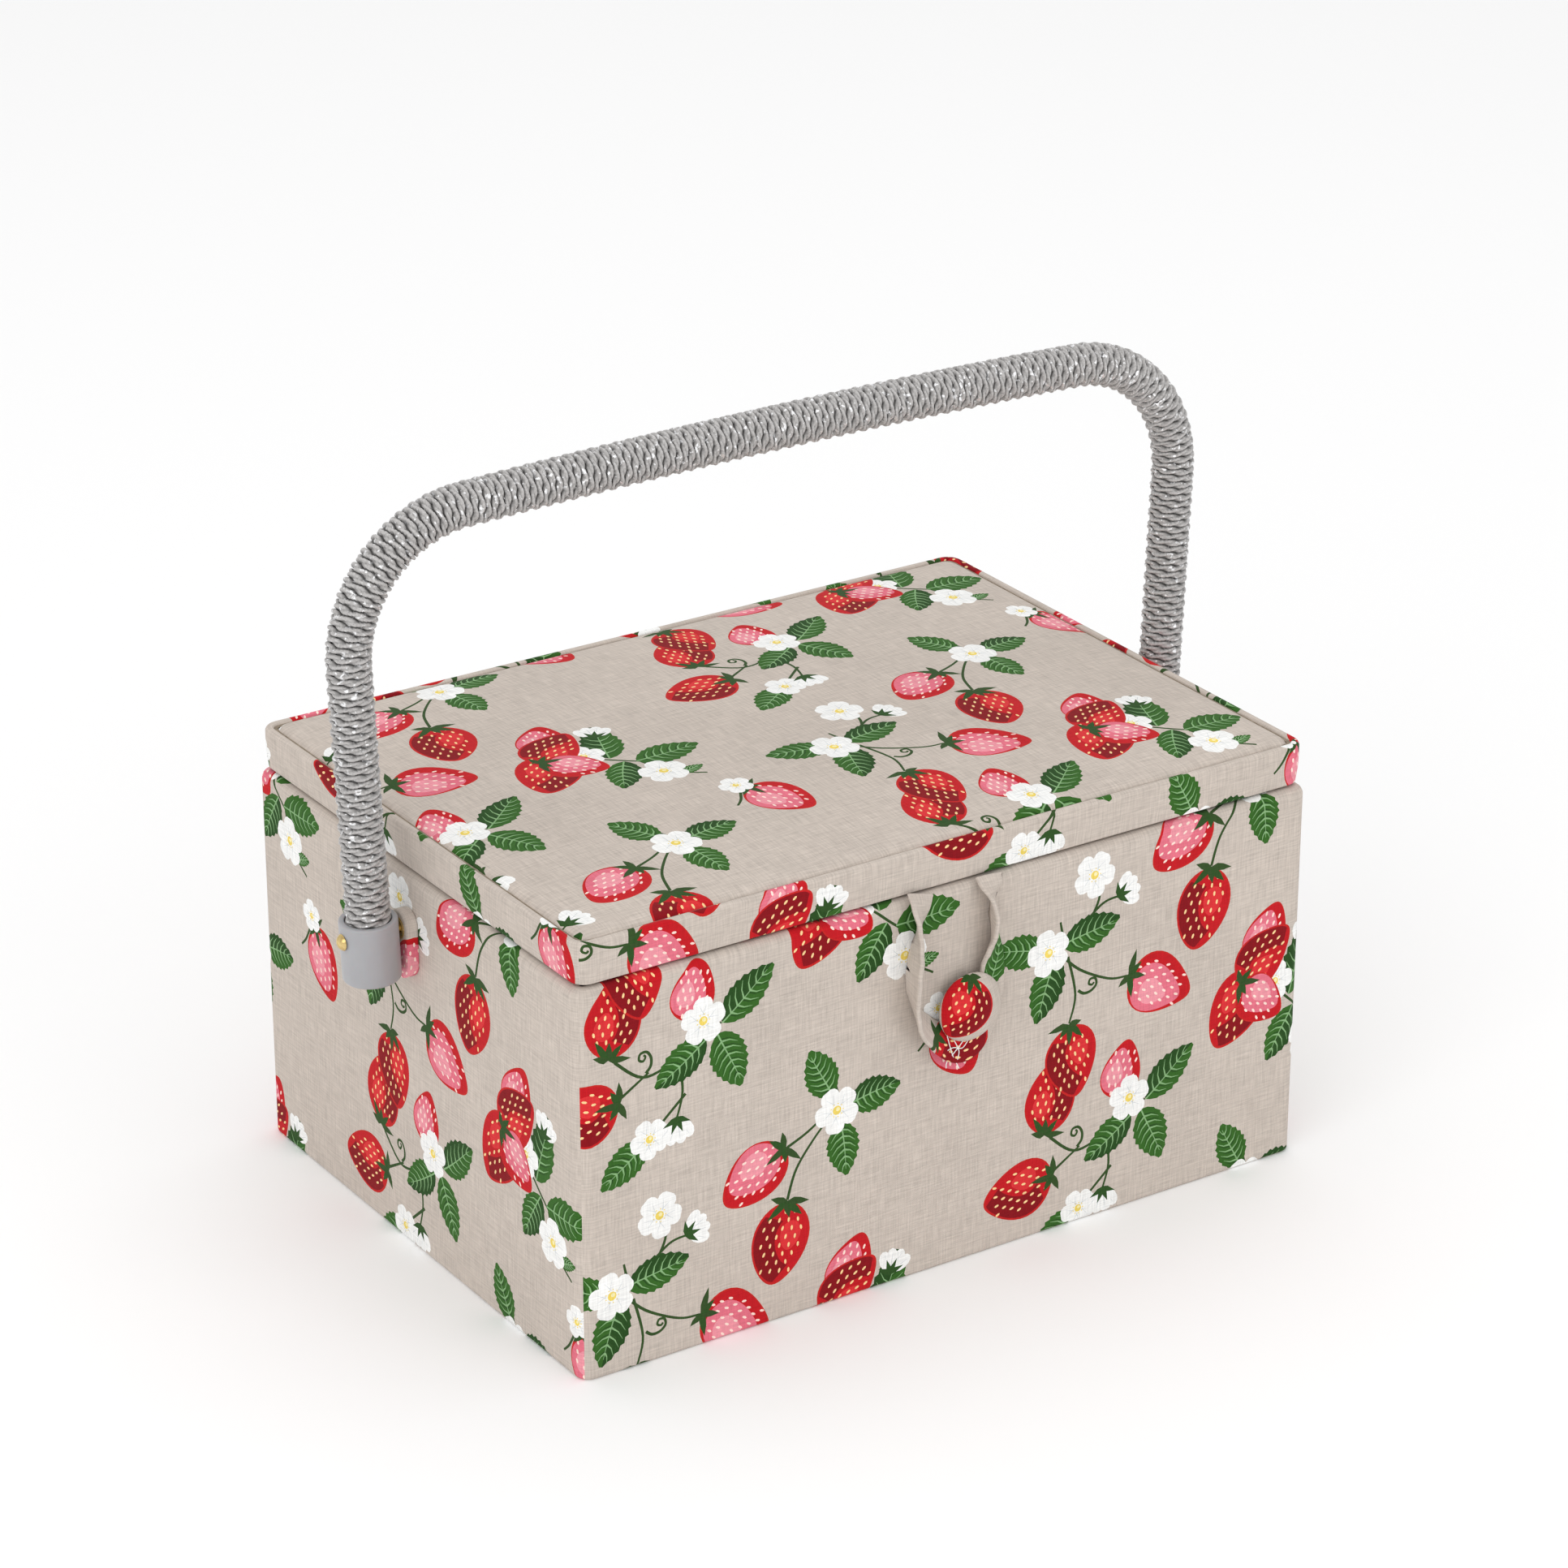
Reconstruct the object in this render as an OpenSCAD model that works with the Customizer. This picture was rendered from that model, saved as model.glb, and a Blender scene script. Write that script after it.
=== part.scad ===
// Fabric-covered sewing box: a board box with a padded hinged lid, a carrying handle,
// a button-and-loop closure and two lift-out compartment trays.
// Millimetres, +Z up, front at -Y, origin on the floor under the middle of the box.

/* [Box] */
// Outside width of the covered box
body_w = 255; // [200:1:330]
// Outside depth of the covered box, front to back
body_d = 185; // [150:1:240]
// Height of the covered walls above the floor
body_h = 122.5; // [108:0.5:170]
// Radius of the upright corners, outside the cover
corner_r = 4.5; // [4.4:0.1:8]
// Radius that the cover makes over the top of a wall
shoulder_r = 3; // [1.5:0.1:3.6]
// Thickness of the wall, base and lid boards
board_t = 3; // [2:0.1:3]
// Thickness of the printed cover, glue and turnings included
cover_t = 0.8; // [0.5:0.1:1]
// Thickness of the satin lining
lining_t = 0.5; // [0.3:0.1:0.5]
// Thickness of the quilted pad on the floor inside
floor_pad_t = 2.6; // [1.5:0.1:6]

/* [Lid] */
// Height of the lid's band
lid_h = 13.2; // [12:0.1:22]
// Gap between the lid and the walls under it
lid_gap = 0.8; // [0.4:0.1:2]
// How far the lid stands back from the walls all round
lid_inset = 0.9; // [0.4:0.1:2]
// Radius of the lid's upright corners
lid_corner_r = 5.5; // [4.4:0.1:9]
// Height that the rim of the lid stands above its board
rim_h = 2.5; // [1:0.1:6]
// Rise of the padded top above the lid board, in the middle
pad_rise = 6; // [3:0.1:12]
// Width of the sloping border of the padded top
pad_slope_w = 14; // [6:0.5:30]

/* [Pin cushion and pocket] */
// Width of the pin cushion
cushion_w = 84; // [50:1:100]
// Depth of the pin cushion
cushion_d = 56; // [40:1:100]
// Thickness of the pin cushion
cushion_t = 7.5; // [4:0.1:8]
// Width of the gathered pocket
pocket_w = 100; // [60:1:110]
// Depth of the gathered pocket
pocket_d = 84; // [50:1:120]
// Thickness of the gathered pocket lying flat
pocket_t = 2; // [1:0.1:4]

/* [Trays] */
// Height of the upper tray
upper_tray_h = 30.5; // [18:0.5:32]
// Height of the lower tray
lower_tray_h = 50; // [25:0.5:70]
// Height that the upper tray's ledges stand above the base board
ledge_h = 82.4; // [76:0.2:86]
// Thickness of the ledge boards at the front and back
ledge_t = 4; // [3:0.1:8]
// Thickness of the ledge boards at the ends
end_ledge_t = 5; // [4.5:0.1:10]
// Thickness of a tray's walls and dividers
tray_wall = 1.6; // [1:0.1:3]
// Gap between the upper tray and the lining at front and back
tray_gap = 1; // [0.6:0.1:1.5]
// Gap between the upper tray and the lining at the ends, past the rivets
tray_end_gap = 3; // [2.6:0.1:4]
// Radius of the compartments' corners
compartment_r = 6; // [3:0.5:8]

/* [Handle] */
// Height of the rivets that the handle turns on
pivot_z = 107; // [100:0.5:115]
// Gap between an end wall and the ferrule beside it
ferrule_gap = 4.8; // [4:0.1:8]
// Outside radius of a ferrule
ferrule_r = 8.6; // [8:0.1:12]
// Length of a ferrule below the rivet
ferrule_low = 13.5; // [10:0.5:20]
// Length of a ferrule above the rivet
ferrule_up = 5.5; // [4:0.5:12]
// Radius of the handle's plastic core
core_r = 5; // [4:0.1:6]
// Radius of the handle outside its cord wrap
wrap_r = 6.7; // [6.2:0.1:7.4]
// Outward lean of the handle's legs
leg_lean = 2.3; // [0:0.1:5]
// Length of a leg from the rivet to the bend
leg_len = 83.5; // [70:0.5:110]
// Radius of the handle's bends
bend_r = 39.5; // [25:0.5:45]
// Half the angle that the handle's top bar crowns through
crown_angle = 1.95; // [1:0.05:3]

/* [Rivets] */
// Radius of a rivet's shank
rivet_r = 1.6; // [1.2:0.1:2]
// Radius of a rivet's domed head
rivet_head_r = 2.5; // [2.4:0.1:3.5]
// Running clearance round a rivet's shank
rivet_fit = 0.05; // [0.03:0.01:0.08]

/* [Closure] */
// Distance of the closure to the right of the middle
closure_x = 2; // [-20:1:20]
// Height of the button's centre
button_z = 85; // [76:0.5:92]
// Radius of the covered button
button_r = 11; // [8:0.5:13]
// Height of the button's dome
button_dome = 6; // [4:0.5:7]
// Distance of the button's back from the front wall
button_stand = 3.5; // [3:0.1:6]
// Width of the closure's strip
strip_w = 5; // [4:0.1:7]
// Thickness of the folded strip
strip_t = 3.2; // [2:0.1:3.2]
// Gap between the button's rim and the loop round it
loop_fit = 1; // [0.6:0.1:2]
// Distance of the loop's point below the button's centre
loop_drop = 20.5; // [19:0.5:26]

/* [Hidden] */
$fn = 64;

// Overshoot of a cut past the face it opens
eps = 0.1;
// Clearance between a soft piece and its neighbour
soft_gap = 0.3;
// Corner radii of the base board, the floor pad, the padded top, the pin cushion and the pocket
base_board_r = 0.7;
floor_pad_r = 3;
pad_r = 1.5;
cushion_r = 8;
pocket_r = 4;

// Height of the cover's lower edge above the floor
cover_low = 0.3;
// Insets from the outside face to each layer's inner face
board_in = cover_t + board_t;
lining_in = board_in + lining_t;
// Thickness of the cover under the base, and depth of the cover's turning inside a rim
base_cover_t = 0.6;
turning_h = 10;
// Height of the base board's top, of the floor pad's top and of the ledges' top
base_top = base_cover_t + board_t;
floor_top = base_top + floor_pad_t;
ledge_top = base_top + ledge_h;

// The lid's own outside size and its levels
lid_w = body_w - 2 * lid_inset;
lid_d = body_d - 2 * lid_inset;
lid_z0 = body_h + lid_gap;
lid_z1 = lid_z0 + lid_h;
lid_board_top = lid_z1 - rim_h;
lid_board_z = lid_board_top - board_t;
lid_under = lid_board_z - lining_t;
lid_rim_r = 1.6;
// Height of the pad's edge as a share of its rise
pad_edge_share = 0.3;
// Width and thickness of the pocket's elastic
elastic_w = 6;
elastic_t = 0.8;

// The handle's parts, measured in the plane of the arch
handle_half = body_w / 2 + ferrule_gap + ferrule_r;
// The socket is bored past the rivet, so that the rivet holds the core as well
socket_depth = ferrule_up + rivet_r + 4;
bend_x = handle_half + leg_len * sin(leg_lean) - bend_r * cos(leg_lean);
bend_z = pivot_z + leg_len * cos(leg_lean) + bend_r * sin(leg_lean);
crown_r = bend_r + bend_x / sin(crown_angle);
crown_z = bend_z + (bend_r - crown_r) * cos(crown_angle);
// Each bend and crown is a turned solid, so the crown needs many steps for its small angle
crown_fn = 1440;

// The pieces along a rivet, from the end wall outwards and inwards
eyelet_t = 0.5;
eyelet_r = 3.4;
// Running gap between the eyelet and the ferrule
ferrule_fit = 0.45;
spacer_t = ferrule_gap - eyelet_t - ferrule_fit;
spacer_w = 10;
spacer_h = 21.5;
spacer_low = 16;
washer_t = 0.6;
washer_r = 5;
rivet_tail_r = 2.6;
rivet_tail_t = 1;
rivet_head_t = 1.6;
// The head stands just clear of the ferrule
head_x = handle_half + ferrule_r / cos(leg_lean) + 0.2;

// The button, along its axis from the front wall outwards
button_back_r = 5;
button_back_t = 0.8;
button_cover_t = 0.6;
shank_r = 1.5;
shank_fit = 0.05;
dome_r = (button_r * button_r + button_dome * button_dome) / (2 * button_dome);

// The closure loop hangs just in front of the front wall from the lid's lower edge
loop_gap = 0.5;
loop_top = body_h + 0.2;
loop_inner = button_r + loop_fit;
loop_outer = loop_inner + strip_w;
arm_inner = 6.5;
arm_outer = 16.5;
// Half width of the loop's point
tip_half = 3;
tab_h = 7;
tab_t = 0.5;

// The cloth hinge and the folded lid stays
hinge_cloth_t = 0.5;
hinge_cloth_in = 3;
hinge_cloth_gap = 0.1;
hinge_cloth_low = 10;
hinge_cloth_up = 8;
stay_t = 0.8;
stay_near = 36.4;
stay_far = 60;
stay_z = 118;
stay_h = 9;
stay_gap = 1;

// Trays: the upper one sits on the ledges, the lower one on the floor pad between them
upper_w = body_w - 2 * lining_in - 2 * tray_end_gap;
upper_d = body_d - 2 * lining_in - 2 * tray_gap;
lower_tray_gap = 0.8;
rest_gap = 0.1;
upper_z = ledge_top + rest_gap;
lower_w = body_w - 2 * (lining_in + end_ledge_t + lower_tray_gap);
lower_d = body_d - 2 * (lining_in + ledge_t + lower_tray_gap);
lower_z = floor_top + rest_gap;
tray_floor = 1.6;
tray_r = 4;

// Flat rounded rectangle round the origin
module rounded_rect(w, d, r) {
    square([w - 2 * r, d], center = true);
    square([w, d - 2 * r], center = true);
    for (sx = [-1, 1], sy = [-1, 1])
        translate([sx * (w / 2 - r), sy * (d / 2 - r)]) circle(r);
}

// Rounded plate from one level to another
module plate(w, d, r, z0, z1) {
    translate([0, 0, z0]) linear_extrude(z1 - z0) rounded_rect(w, d, r);
}

// Section of a wall layer: x is the inset from the outside face, y the height, and the outer top edge is round
module layer(in0, in1, z0, z1, r) {
    intersection() {
        translate([in0, z0]) square([in1 - in0, z1 - z0]);
        union() {
            translate([in0, z0]) square([in1 - in0, z1 - z0 - r]);
            translate([in0 + r, z0]) square([max(in1 - in0 - r, 0.01), z1 - z0]);
            translate([in0 + r, z1 - r]) circle(r);
        }
    }
}

// A wall's section carried along the front and half way round both corners, mitred there
module mitred_wall(w, d, r) {
    translate([-(w / 2 - r), -d / 2, 0]) rotate([90, 0, 90]) linear_extrude(w - 2 * r) children();
    for (side = [0, 1])
        mirror([side, 0, 0]) translate([w / 2 - r, -(d / 2 - r), 0]) rotate([0, 0, 270])
            rotate_extrude(angle = 45) translate([r, 0]) mirror([1, 0]) children();
}

// The same wall on side 0 front, 1 right, 2 back or 3 left
module wall_on(side, w, d, r) {
    rotate([0, 0, 90 * side]) mitred_wall(side % 2 == 0 ? w : d, side % 2 == 0 ? d : w, r) children();
}

// Hole for both rivets, right through from end to end
module rivet_bore() {
    translate([0, 0, pivot_z]) rotate([0, 90, 0])
        cylinder(h = 3 * head_x, r = rivet_r + rivet_fit, center = true);
}

// Something on the front wall at the button's centre, its axis pointing forwards
module at_button(y) {
    translate([closure_x, y, button_z]) rotate([90, 0, 0]) children();
}

// ---- base and walls ----

module base_board() {
    color("tan") plate(body_w - 2 * board_in, body_d - 2 * board_in, base_board_r, base_cover_t, base_top);
}

module base_cover() {
    color("antiquewhite") plate(body_w - 2 * cover_t, body_d - 2 * cover_t, corner_r - cover_t, 0, base_cover_t);
}

module floor_pad() {
    color("lavenderblush") plate(body_w - 2 * (lining_in + end_ledge_t + soft_gap),
        body_d - 2 * (lining_in + ledge_t + soft_gap), floor_pad_r, base_top, floor_top);
}

module board_section() {
    layer(cover_t, board_in, base_cover_t, body_h - cover_t, shoulder_r - cover_t);
}

module cover_section() {
    difference() {
        layer(0, lining_in, cover_low, body_h, shoulder_r);
        layer(cover_t, board_in, -1, body_h - cover_t, shoulder_r - cover_t);
        translate([board_in - eps, -1]) square([lining_t + 2 * eps, body_h - turning_h + 1]);
    }
}

module lining_section() {
    translate([board_in, base_top]) square([lining_t, body_h - turning_h - base_top]);
}

module board_on(side) {
    wall_on(side, body_w, body_d, corner_r) board_section();
}

module cover_on(side) {
    wall_on(side, body_w, body_d, corner_r) cover_section();
}

module front_board() {
    color("tan") difference() {
        board_on(0);
        at_button(-body_d / 2 + board_in + eps) cylinder(h = board_in + 2 * eps, r = shank_r + shank_fit);
        at_button(-body_d / 2 + board_in + eps) cylinder(h = button_back_t + eps, r = button_back_r + shank_fit);
    }
}

module right_board() {
    color("tan") difference() {
        board_on(1);
        rivet_bore();
    }
}

module back_board() {
    color("tan") board_on(2);
}

module left_board() {
    color("tan") difference() {
        board_on(3);
        rivet_bore();
    }
}

module front_cover() {
    color("linen") difference() {
        cover_on(0);
        at_button(-body_d / 2 + cover_t + eps) cylinder(h = cover_t + 2 * eps, r = shank_r + shank_fit);
    }
}

module right_cover() {
    color("linen") difference() {
        cover_on(1);
        rivet_bore();
    }
}

module back_cover() {
    color("linen") cover_on(2);
}

module left_cover() {
    color("linen") difference() {
        cover_on(3);
        rivet_bore();
    }
}

module wall_lining() {
    color("lavenderblush") difference() {
        for (side = [0:3]) wall_on(side, body_w, body_d, corner_r) lining_section();
        rivet_bore();
    }
}

// ---- ledges that the upper tray sits on ----

module long_ledge(sy) {
    color("lavenderblush") translate([-(body_w / 2 - lining_in), sy > 0 ? body_d / 2 - lining_in - ledge_t
        : -(body_d / 2 - lining_in), base_top]) cube([body_w - 2 * lining_in, ledge_t, ledge_h]);
}

module end_ledge(sx) {
    color("lavenderblush") translate([sx > 0 ? body_w / 2 - lining_in - end_ledge_t : -(body_w / 2 - lining_in),
        -(body_d / 2 - lining_in - ledge_t), base_top])
        cube([end_ledge_t, body_d - 2 * (lining_in + ledge_t), ledge_h]);
}

module front_ledge() { long_ledge(-1); }
module back_ledge() { long_ledge(1); }
module left_ledge() { end_ledge(-1); }
module right_ledge() { end_ledge(1); }

// ---- handle mounting ----

module spacer(sx) {
    color("linen") difference() {
        translate([sx * (body_w / 2 + spacer_t / 2), 0, pivot_z - spacer_low + spacer_h / 2])
            rotate([90, 0, 90]) translate([0, 0, -spacer_t / 2]) linear_extrude(spacer_t)
                rounded_rect(spacer_w, spacer_h, spacer_w / 2 - 0.2);
        rivet_bore();
    }
}

module ring_on_rivet(x0, x1, r) {
    translate([x0, 0, pivot_z]) rotate([0, 90, 0]) difference() {
        cylinder(h = x1 - x0, r = r);
        translate([0, 0, -eps]) cylinder(h = x1 - x0 + 2 * eps, r = rivet_r + rivet_fit);
    }
}

module eyelet_right() {
    color("goldenrod") ring_on_rivet(body_w / 2 + spacer_t, body_w / 2 + spacer_t + eyelet_t, eyelet_r);
}

module washer_right() {
    color("goldenrod") ring_on_rivet(body_w / 2 - lining_in - washer_t, body_w / 2 - lining_in, washer_r);
}

// A rivet with a domed head outside and a set tail inside
module rivet_right() {
    tail_x = body_w / 2 - lining_in - washer_t - rivet_tail_t;
    head_ball = (rivet_head_r * rivet_head_r + rivet_head_t * rivet_head_t) / (2 * rivet_head_t);
    color("goldenrod") translate([0, 0, pivot_z]) rotate([0, 90, 0]) union() {
        translate([0, 0, tail_x]) cylinder(h = head_x - tail_x + eps, r = rivet_r);
        translate([0, 0, tail_x]) cylinder(h = rivet_tail_t, r = rivet_tail_r);
        translate([0, 0, head_x]) intersection() {
            cylinder(h = rivet_head_t, r = rivet_head_r + eps);
            translate([0, 0, rivet_head_t - head_ball]) sphere(head_ball);
        }
    }
}

module spacer_left() { spacer(-1); }
module spacer_right() { spacer(1); }
module eyelet_left() { mirror([1, 0, 0]) eyelet_right(); }
module washer_left() { mirror([1, 0, 0]) washer_right(); }
module rivet_left() { mirror([1, 0, 0]) rivet_right(); }

// ---- handle ----

// Something in a leg's own frame: the rivet at its origin, the leg along +Z
module at_leg(sx) {
    translate([sx * handle_half, 0, pivot_z]) rotate([0, sx * leg_lean, 0]) children();
}

// The whole arch as a round bar, from a distance below the rivets up and over
module arch(r, below) {
    for (sx = [-1, 1]) {
        at_leg(sx) translate([0, 0, -below]) cylinder(h = leg_len + below, r = r);
        mirror([sx < 0 ? 1 : 0, 0, 0]) translate([bend_x, 0, bend_z]) rotate([90, 0, 0])
            rotate([0, 0, -leg_lean]) rotate_extrude(angle = 90 - crown_angle + leg_lean)
                translate([bend_r, 0]) circle(r);
    }
    translate([0, 0, crown_z]) rotate([90, 0, 0]) rotate([0, 0, 90 - crown_angle])
        rotate_extrude(angle = 2 * crown_angle, $fn = crown_fn) translate([crown_r, 0]) circle(r, $fn = 64);
}

module handle_core() {
    color("gray") difference() {
        arch(core_r, socket_depth - ferrule_up);
        rivet_bore();
    }
}

module handle_wrap() {
    color("silver") difference() {
        arch(wrap_r, socket_depth - ferrule_up);
        arch(core_r, socket_depth - ferrule_up + eps);
        rivet_bore();
    }
}

module ferrule(sx) {
    color("lightgray") difference() {
        at_leg(sx) translate([0, 0, -ferrule_low]) cylinder(h = ferrule_low + ferrule_up, r = ferrule_r);
        at_leg(sx) translate([0, 0, ferrule_up - socket_depth]) cylinder(h = socket_depth + eps, r = wrap_r);
        rivet_bore();
    }
}

module ferrule_left() { ferrule(-1); }
module ferrule_right() { ferrule(1); }

// ---- button ----

// The dome of a ball that meets the button's back, lowered all over by a skin's thickness
module dome(skin) {
    intersection() {
        translate([0, 0, button_dome - dome_r]) sphere(dome_r - skin);
        cylinder(h = button_dome + 1, r = button_r + 1);
    }
}

module button_shell() {
    color("silver") at_button(-body_d / 2 - button_stand) dome(button_cover_t);
}

module button_cover() {
    color("crimson") at_button(-body_d / 2 - button_stand) difference() {
        dome(0);
        translate([0, 0, -eps]) intersection() {
            translate([0, 0, button_dome - dome_r + eps]) sphere(dome_r - button_cover_t);
            cylinder(h = button_dome + 1, r = button_r + 1);
        }
    }
}

module button_shank() {
    color("silver") at_button(-body_d / 2 + board_in - button_back_t)
        cylinder(h = board_in - button_back_t + button_stand, r = shank_r);
}

module button_back() {
    color("silver") at_button(-body_d / 2 + board_in) cylinder(h = button_back_t, r = button_back_r);
}

// ---- lid ----

module rail_section() {
    layer(cover_t, board_in, lid_z0 + cover_t, lid_z1 - cover_t, lid_rim_r - cover_t);
}

module lid_cover_section() {
    difference() {
        layer(0, lining_in, lid_z0, lid_z1, lid_rim_r);
        layer(cover_t, board_in, lid_z0 + cover_t, lid_z1 - cover_t, lid_rim_r - cover_t);
        translate([board_in - eps, lid_z0 - eps])
            square([lining_t + 2 * eps, lid_h - rim_h + eps]);
    }
}

module rail_on(side) {
    color("tan") wall_on(side, lid_w, lid_d, lid_corner_r) rail_section();
}

module lid_cover_on(side) {
    color("linen") wall_on(side, lid_w, lid_d, lid_corner_r) lid_cover_section();
}

module lid_front_rail() { rail_on(0); }
module lid_right_rail() { rail_on(1); }
module lid_back_rail() { rail_on(2); }
module lid_left_rail() { rail_on(3); }
module lid_front_cover() { lid_cover_on(0); }
module lid_right_cover() { lid_cover_on(1); }
module lid_back_cover() { lid_cover_on(2); }
module lid_left_cover() { lid_cover_on(3); }

module lid_board() {
    color("tan") plate(lid_w - 2 * board_in, lid_d - 2 * board_in, lid_corner_r - board_in,
        lid_board_z, lid_board_top);
}

// The pad's border slopes up from just above the board to its flat middle
module padded_top(in, z0, z1) {
    hull() {
        plate(lid_w - 2 * (lining_in + in), lid_d - 2 * (lining_in + in), pad_r, z0,
            z0 + (z1 - z0) * pad_edge_share);
        plate(lid_w - 2 * (lining_in + in + pad_slope_w), lid_d - 2 * (lining_in + in + pad_slope_w),
            pad_slope_w / 2, z0, z1);
    }
}

module lid_foam() {
    color("khaki") padded_top(soft_gap + cover_t, lid_board_top, lid_board_top + pad_rise - cover_t);
}

module lid_top_cover() {
    foam_in = lining_in + soft_gap + cover_t;
    color("linen") difference() {
        padded_top(soft_gap, lid_board_top, lid_board_top + pad_rise);
        padded_top(soft_gap + cover_t, lid_board_top, lid_board_top + pad_rise - cover_t);
        plate(lid_w - 2 * foam_in, lid_d - 2 * foam_in, pad_r, lid_board_top - eps, lid_board_top + eps);
    }
}

module lid_lining() {
    color("lavenderblush") union() {
        plate(lid_w - 2 * lining_in, lid_d - 2 * lining_in, lid_corner_r - lining_in, lid_under, lid_board_z);
        for (side = [0:3]) wall_on(side, lid_w, lid_d, lid_corner_r)
            translate([board_in, lid_z0 + cover_t]) square([lining_t, lid_board_z - lid_z0 - cover_t]);
    }
}

module pin_cushion() {
    color("mistyrose") translate([-lid_w / 4, 0, 0])
        plate(cushion_w, cushion_d, cushion_r, lid_under - soft_gap - cushion_t, lid_under - soft_gap);
}

module lid_pocket() {
    color("mistyrose") translate([lid_w / 4, 0, 0])
        plate(pocket_w, pocket_d, pocket_r, lid_under - pocket_t, lid_under);
}

// Elastic band along the pocket's open edge
module pocket_elastic() {
    color("white") translate([lid_w / 4 - pocket_w / 2, -pocket_d / 2, lid_under - pocket_t - elastic_t])
        cube([pocket_w, elastic_w, elastic_t]);
}

// ---- closure ----

module loop_outline() {
    difference() {
        polygon([[-arm_outer, loop_top], [-loop_outer, button_z + loop_outer * 0.6], [-loop_outer, button_z - 4],
            [-tip_half, button_z - loop_drop], [tip_half, button_z - loop_drop], [loop_outer, button_z - 4],
            [loop_outer, button_z + loop_outer * 0.6], [arm_outer, loop_top]]);
        translate([0, button_z]) circle(loop_inner);
        polygon([[-arm_inner, loop_top + eps], [-loop_inner * 0.8, button_z + loop_inner * 0.6],
            [loop_inner * 0.8, button_z + loop_inner * 0.6], [arm_inner, loop_top + eps]]);
    }
}

module closure_loop() {
    color("wheat") translate([closure_x, -body_d / 2 - loop_gap, 0]) rotate([90, 0, 0])
        linear_extrude(strip_t) loop_outline();
}

// The loop's ends, glued to the inner face of the lid's front rail
module closure_tab() {
    color("wheat") translate([closure_x - arm_outer, -lid_d / 2 + lining_in, lid_z0 + cover_t])
        cube([2 * arm_outer, tab_t, min(tab_h, lid_under - lid_z0 - cover_t)]);
}

// ---- cloth hinge and lid stays ----

module hinge_cloth() {
    color("linen") translate([-(lid_w / 2 - lid_corner_r - hinge_cloth_in), body_d / 2 + hinge_cloth_gap,
        body_h - hinge_cloth_low])
        cube([lid_w - 2 * (lid_corner_r + hinge_cloth_in), hinge_cloth_t, hinge_cloth_low + hinge_cloth_up]);
}

// A ribbon folded away between the end of the tray and the lining
module lid_stay(sx) {
    x_out = body_w / 2 - lining_in - stay_gap;
    color("mistyrose") translate([sx > 0 ? x_out - stay_t : -x_out, body_d / 2 - stay_far, stay_z])
        cube([stay_t, stay_far - stay_near, stay_h]);
}

module lid_stay_left() { lid_stay(-1); }
module lid_stay_right() { lid_stay(1); }

// ---- trays ----

// Open tray: each compartment is [left, front, right, back] as shares of the tray's inside
module tray(w, d, h, z, compartments) {
    in_w = w - tray_wall;
    in_d = d - tray_wall;
    translate([0, 0, z]) difference() {
        linear_extrude(h) rounded_rect(w, d, tray_r);
        for (c = compartments)
            translate([(c[0] + c[2] - 1) / 2 * in_w, (c[1] + c[3] - 1) / 2 * in_d, tray_floor]) linear_extrude(h)
                rounded_rect((c[2] - c[0]) * in_w - tray_wall, (c[3] - c[1]) * in_d - tray_wall, compartment_r);
    }
}

module upper_tray() {
    color("whitesmoke") tray(upper_w, upper_d, upper_tray_h, upper_z, [
        [0, 0, 0.25, 0.5], [0, 0.5, 0.25, 1],
        [0.25, 0, 0.75, 0.4], [0.25, 0.4, 0.5, 1], [0.5, 0.4, 0.75, 1],
        [0.75, 0, 1, 0.5], [0.75, 0.5, 1, 1]]);
}

module lower_tray() {
    color("whitesmoke") tray(lower_w, lower_d, lower_tray_h, lower_z,
        [for (i = [0:2], j = [0:1]) [i / 3, j / 2, (i + 1) / 3, (j + 1) / 2]]);
}

base_board();
base_cover();
floor_pad();
front_board();
right_board();
back_board();
left_board();
front_cover();
right_cover();
back_cover();
left_cover();
wall_lining();
front_ledge();
back_ledge();
left_ledge();
right_ledge();
spacer_left();
spacer_right();
eyelet_left();
eyelet_right();
washer_left();
washer_right();
button_shell();
button_cover();
button_shank();
button_back();
lid_board();
lid_front_rail();
lid_right_rail();
lid_back_rail();
lid_left_rail();
lid_front_cover();
lid_right_cover();
lid_back_cover();
lid_left_cover();
lid_foam();
lid_top_cover();
lid_lining();
pin_cushion();
lid_pocket();
pocket_elastic();
closure_tab();
closure_loop();
hinge_cloth();
lid_stay_left();
lid_stay_right();
rivet_left();
rivet_right();
handle_core();
handle_wrap();
ferrule_left();
ferrule_right();
upper_tray();
lower_tray();
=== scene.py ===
import bpy, bmesh, math
import numpy as np
from mathutils import Matrix, Vector, noise
from mathutils.geometry import delaunay_2d_cdt


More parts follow.
